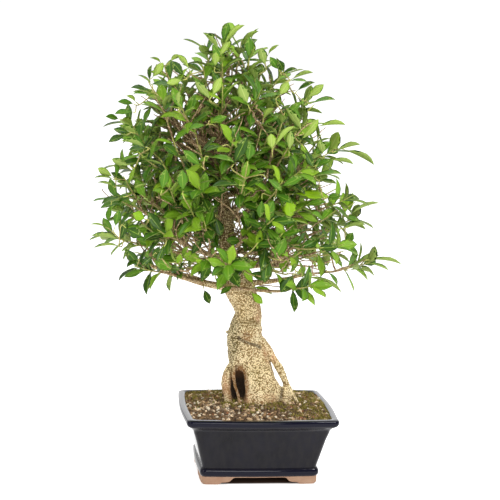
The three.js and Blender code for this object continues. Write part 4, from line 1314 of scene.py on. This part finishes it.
def hidesSeen(leaf):
    middle = leaf["at"] + leaf["basis"][1] * leaf["length"] * 0.55
    column, row = onPhoto(middle)
    near = shownLeaf["hiding"]
    return any(abs(column - x) < near and abs(row - y) < near and middle.y < front
               for x, y, front in seenSpots)


shown = [seenLeaf(row) for row in seenLeaves]
seenSpots = [(*leaf["spot"], leaf["at"].y + shownLeaf["inFront"]) for leaf in shown]
leaves = [leaf for leaf in leaves if leaf["kind"] == "own" or not hidesSeen(leaf)] + shown
seenStalks = []
extraShoots = [shoot for shoot in extraShoots if not shoot["blocks"]]
for shoot in ownShoots + extraShoots:
    standing.add([(*point, crown["twigRadius"]) for point in shoot["line"]], (0.2, 0.6, 1))
for height in range(300, 560, 12):
    x, y = trunkAt(height).xy
    girth = float(np.interp(height, *np.array(wood["trunk"])[:, 2:].T))
    standing.add([(x, y - girth, height, 2), (x, y - girth, height + 6, 2)], (0, 1))
for leaf in shown:
    forward = leaf["basis"][1]
    spot, radius = standing.behind(leaf["at"] - forward * 8)
    middle = leaf["at"] - forward * min(0.3 * (leaf["at"] - spot).length, 9)
    thick, medium, thin = shownLeaf["stalk"]
    line = [(*spot, min(radius, thick)), (*middle, medium), (*leaf["at"], thin)]
    seenStalks.append(line)
    standing.add(line, (0.5, 0.75))
print("leaves", len(leaves), "shoots", len(ownShoots) + len(extraShoots))


def makeBlade(name, fold, arch, curl):
    # one unit long and one unit wide; fold lifts the edges, arch bends the tip down, curl turns it aside
    verts, onLeaf, faces, marks = [], [], [], []
    across = (-1, -0.5, 0, 0.5, 1, -0.5, 0, 0.5)  # five points on top, then three underneath
    for along, wide in blade["stations"]:
        for number, aside in enumerate(across):
            x = aside * wide / 2
            level = 1 if number < 5 else -1
            z = fold * abs(x) - arch * along * along + level * blade["thick"] * (1 - abs(aside)) * (1 - along)
            wave = blade["wave"] * math.sin(9 * along) * abs(aside)
            verts.append((x + curl * along * along * 0.5, along, z + wave))
            onLeaf.append((aside, along))
    tip = len(verts)
    verts.append((curl * 0.5, 1.0, -arch))
    onLeaf.append((0, 1))
    around = len(across)
    for row in range(0, tip, around):
        for mark, side in enumerate(((0, 1, 2, 3, 4), (0, 5, 6, 7, 4))):
            for near, far in zip(side[:-1], side[1:]):
                a, b = (row + far, row + near) if mark else (row + near, row + far)
                faces.append((a, b, tip) if row + around == tip else (a, b, b + around, a + around))
                marks.append(mark)
    faces.append((4, 3, 2, 1, 0, 5, 6, 7))
    marks.append(1)
    leaf = newPiece(name, verts, faces)
    layer = leaf.data.uv_layers.new(name="leafMap")
    for polygon, mark in zip(leaf.data.polygons, marks):
        for loop in polygon.loop_indices:
            aside, along = onLeaf[leaf.data.loops[loop].vertex_index]
            layer.data[loop].uv = ((0.5 + aside / 2) * 0.5 + 0.5 * mark, along)
    return leaf


def makeLeafPaint():
    material, shader = makeMaterial("glossyLeaf")
    # the map's left half is the top of the leaf, its right half the underside
    sideways, along = partsOf(addNode("ShaderNodeUVMap", uv_map="leafMap").outputs[0])[:2]
    under = maths("GREATER_THAN", sideways, 0.5)
    across = maths("ABSOLUTE", maths("SUBTRACT", maths("FRACT", maths("MULTIPLY", sideways, 2.0)), 0.5))
    tint = attribute("tint")
    tone = ramp(tint, [(0.0, colour(24, 52, 6)), (0.35, colour(50, 94, 10)), (0.65, colour(88, 134, 18)),
                       (1.0, colour(138, 174, 40))])
    tone = mixed(attribute("young"), tone, colour(130, 170, 16))
    tone = mixed(span(noiseOf(spots(), 75, 2), 0.35, 0.7, (0, 0.2)), tone, colour(92, 132, 30))
    rib = span(across, 0.05, 0.02)
    slant = maths("ADD", maths("MULTIPLY", along, 70.0), maths("MULTIPLY", across, -46.0))
    veins = maths("MULTIPLY", span(maths("SINE", slant), 0.8, 1.0), 0.16)
    lines = maths("MAXIMUM", maths("MULTIPLY", rib, 0.55), veins)
    topTone = mixed(lines, tone, colour(140, 170, 60))
    pale = mixed(0.66, tone, colour(150, 168, 84))
    underTone = mixed(lines, pale, colour(176, 190, 112))
    rough = maths("MAXIMUM", span(under, 0, 1, (0.3, 0.55)), span(tint, 0, 1, (0.3, 0.5)))
    feed(shader, {"Base Color": mixed(under, topTone, underTone), "Roughness": rough,
                  "Specular IOR Level": 0.22})
    bump(shader, maths("MULTIPLY", lines, -1.0), 0.0005, 0.6)
    return material


def leafTree(material, collection):
    given = geometryTree("placeLeaves", {"Size": "Float"})
    shapes = addNode("GeometryNodeCollectionInfo", {"Collection": collection, "Separate Children": True,
                                                    "Reset Children": True}).outputs[0]
    turn = addNode("FunctionNodeEulerToRotation", {0: stored("turn", "FLOAT_VECTOR")}).outputs[0]
    size = vectors("SCALE", stored("size", "FLOAT_VECTOR"), given["Size"])
    points = addNode("GeometryNodeMeshToPoints", {"Mesh": given["Geometry"]}).outputs[0]
    placed = addNode("GeometryNodeInstanceOnPoints",
                     {"Points": points, "Instance": shapes, "Pick Instance": True,
                      "Instance Index": stored("shape", "INT"), "Rotation": turn, "Scale": size}).outputs[0]
    return endTree(placed, material)


def leafPoints(name, chosen, random):
    verts, turns, sizes, shapes, tints, young = [], [], [], [], [], []
    narrowest, wider = blade["widths"]
    for leaf in chosen:
        right, forward, face = leaf["basis"]
        roll = (random() - 0.5) * blade["rolls"][leaf["kind"]]
        face = turned(face, forward, roll)
        right = forward.cross(face)
        matrix = Matrix((right, forward, face)).transposed()
        turns.append(tuple(matrix.to_euler()))
        length = leaf["length"]
        width = length * (narrowest + wider * random())
        sizes.append((leaf.get("width", width), length, length))
        shape = int(random() * len(blade["shapes"]))
        shapes.append(leaf.get("shape", shape))
        verts.append(leaf["at"])
        tint, fresh = random(), random()
        tints.append(leaf.get("tint", tint))
        young.append(leaf.get("young", 4 * max(fresh - blade["youngFrom"], 0.0)))
    points = newPiece(name, place(verts), [])
    setNumbers(points.data, "turn", turns, "FLOAT_VECTOR")
    setNumbers(points.data, "size", sizes, "FLOAT_VECTOR")
    setNumbers(points.data, "shape", shapes, "INT")
    setNumbers(points.data, "tint", tints)
    setNumbers(points.data, "young", young)
    return points


bladeShelf = bpy.data.collections.new("bladeShelf")
scene.collection.children.link(bladeShelf)
for index, (name, values) in enumerate(blade["shapes"].items()):
    leaf = makeBlade(f"{index}_{name}", *values)
    scene.collection.objects.unlink(leaf)
    bladeShelf.objects.link(leaf)
leafGrower = leafTree(makeLeafPaint(), bladeShelf)
tiers = {"leavesLow": (0, 440), "leavesMiddle": (440, 540), "leavesUpper": (540, 640),
         "leavesTop": (640, 2000)}
choose = makeRandom(crown["seeds"]["shapes"])
for tier, (lowTier, highTier) in tiers.items():
    chosen = [leaf for leaf in leaves if lowTier <= leaf["at"].z < highTier]
    points = leafPoints("points", chosen, choose)
    piece = grown(tier, points, leafGrower, {"Size": mm})
    discard(points)
    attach(piece, "root")
    own = [f"spray_{k + 1:02d}" for k, s in enumerate(ownShoots) if lowTier <= s["start"].z < highTier]
    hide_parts(*own)
    print(tier, len(chosen), "leaves", len(piece.data.polygons), "faces", len(own), "nodes")
for leaf in list(bladeShelf.objects):
    discard(leaf)
bpy.data.collections.remove(bladeShelf)


# branches and twigs: tubes along lines that carry their own girth; twig has the sizes of the bare ones
twig = {
    "crookSize": 14, "thinnest": 0.25, "bare": 460, "fromRadius": 1.3, "heights": (340, 760),
    "lift": (0.5, 0.6), "outward": 0.7, "lengths": (25, 45), "wander": 9, "radius": 1.7, "taper": 0.6,
    "reach": 0.97, "leaderFrom": 430, "shootTaper": 0.35, "budEnds": (0.8, 0.05), "greens": (0.2, 0.8),
}


def lineTree(material, name):
    given = geometryTree(name, {"Sides": "Int"})
    curve = addNode("GeometryNodeMeshToCurve", {"Mesh": given["Geometry"]}).outputs[0]
    ring = addNode("GeometryNodeCurvePrimitiveCircle", {"Resolution": given["Sides"], "Radius": 1.0})
    skin = addNode("GeometryNodeCurveToMesh", {"Curve": curve, "Profile Curve": ring.outputs[0],
                                               "Scale": stored("girth"), "Fill Caps": True}).outputs[0]
    return endTree(addNode("GeometryNodeSetShadeSmooth", {"Geometry": skin}).outputs[0], material)


def tubes(name, lines, tree, sides, crook=0.0, greenAt=None):
    verts, edges, girth, green = [], [], [], []
    for number, line in enumerate(lines):
        start = len(verts)
        for i, (x, y, z, radius) in enumerate(line):
            shift = Vector((0, 0, 0))
            if crook and 0 < i < len(line) - 1:
                spot = Vector((x, y, z)) / twig["crookSize"] + Vector((number, 0, 0))
                shift = noise.noise_vector(spot) * crook
            verts.append((x + shift.x, y + shift.y, z + shift.z))
            girth.append(max(radius, twig["thinnest"]) * mm)
            green.append(greenAt(line, i) if greenAt else 0.0)
            if i:
                edges.append((start + i - 1, start + i))
    mesh = bpy.data.meshes.new(name)
    mesh.from_pydata([tuple(v) for v in place(verts)], edges, [])
    setNumbers(mesh, "girth", girth)
    setNumbers(mesh, "green", green)
    source = show("lines", mesh)
    piece = grown(name, source, tree, {"Sides": sides})
    discard(source)
    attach(piece, "root")
    print(name, len(piece.data.polygons), "faces")


def makeTwigPaint():
    material, shader = makeMaterial("twigBark")
    where = spots()
    patches = noiseOf(where, 120, 4, 0.6)
    tone = ramp(patches, [(0.3, colour(90, 66, 42)), (0.55, colour(126, 98, 64)),
                          (0.75, colour(168, 140, 100))])
    tone = mixed(span(cellsOf(where, 380.0), 0.52, 0.4, (0, 0.55)), tone, colour(214, 192, 146))
    feed(shader, {"Base Color": mixed(attribute("green"), tone, colour(172, 180, 84)), "Roughness": 0.7})
    bump(shader, noiseOf(where, 800, 3), 0.0006, 0.6)
    return material


def bareTwigs():
    random = makeRandom(crown["seeds"]["bareTwigs"])
    (flattest, steeper), (shortest, longer) = twig["lift"], twig["lengths"]
    lines = []
    pool = [pair for pair in zip(standing.spots, standing.radii) if pair[1] > twig["fromRadius"]]
    inThickets = [pair for pair in pool if inAny(thickets, pair[0])]
    for k in range(twig["bare"]):
        choices = inThickets if k % 3 == 0 else pool
        spot, radius = choices[int(random() * len(choices))]
        height = min(max(spot.z, twig["heights"][0]), twig["heights"][1])
        out = Vector((spot.x - crownAt(height)[0], spot.y - crown["middleY"], 0)).normalized()
        angle = 2 * math.pi * random()
        aside = Vector((math.cos(angle), math.sin(angle), flattest + steeper * random()))
        heading = (out * twig["outward"] + aside).normalized()
        length = shortest + longer * random()
        line = []
        for i in range(7):
            share = i / 6
            wander = noise.noise_vector(Vector((k * 3.1, share * 2.2, 1))) * twig["wander"] * share
            thick = min(radius, twig["radius"]) * (1 - twig["taper"] * share)
            line.append((*(spot + heading * length * share + wander), thick))
        end = line[-1][:3]
        if outShare(*end[:2], height) < twig["reach"] and insideEdge(end):
            lines.append(line)
    return lines


def seenTwigLines():
    lines = []
    for depth, thick, thin, path in seenTwigs:
        radii = np.linspace(thick, thin, len(path))
        lines.append(finer([(*fromPhoto(*spot, depth), radius) for spot, radius in zip(path, radii)], 14))
    return lines


twigGrower = lineTree(makeTwigPaint(), "sweepTwigs")
barkGrower = lineTree(barkPaint, "sweepLimbs")
leaderLine = finer([p for p in wood["trunk"] if p[2] > twig["leaderFrom"]], 40)
tubes("limbs", [finer(line, 22) for line in limbLines] + [leaderLine], barkGrower, sides=12, crook=1.0)
tubes("branches", [finer(line, 10) for line in branches], twigGrower, sides=8, crook=1.6)
sideLines = [finer(line, 8) for line in extraBranches] + bareTwigs() + seenTwigLines()
tubes("sideBranches", sideLines, twigGrower, sides=6, crook=1.8)
shootLines = []
for shoot in ownShoots + extraShoots:
    line = shoot["line"]
    bud = line[2] + curveTangent(line, 1) * crown["bud"]
    spine = []
    for i in range(6):
        spine.append((*curvePoint(line, i / 5), crown["twigRadius"] * (1 - twig["shootTaper"] * i / 5)))
    budWide, budEnd = twig["budEnds"]
    spine += [(*(line[2] + (bud - line[2]) * 0.5), budWide), (*bud, budEnd)]
    shootLines.append(spine)
shootLines += [finer(line, 5) for line in seenStalks]
least, more = twig["greens"]
tubes("shoots", shootLines, twigGrower, sides=6, greenAt=lambda line, i: least + more * i / (len(line) - 1))
print("crown made")
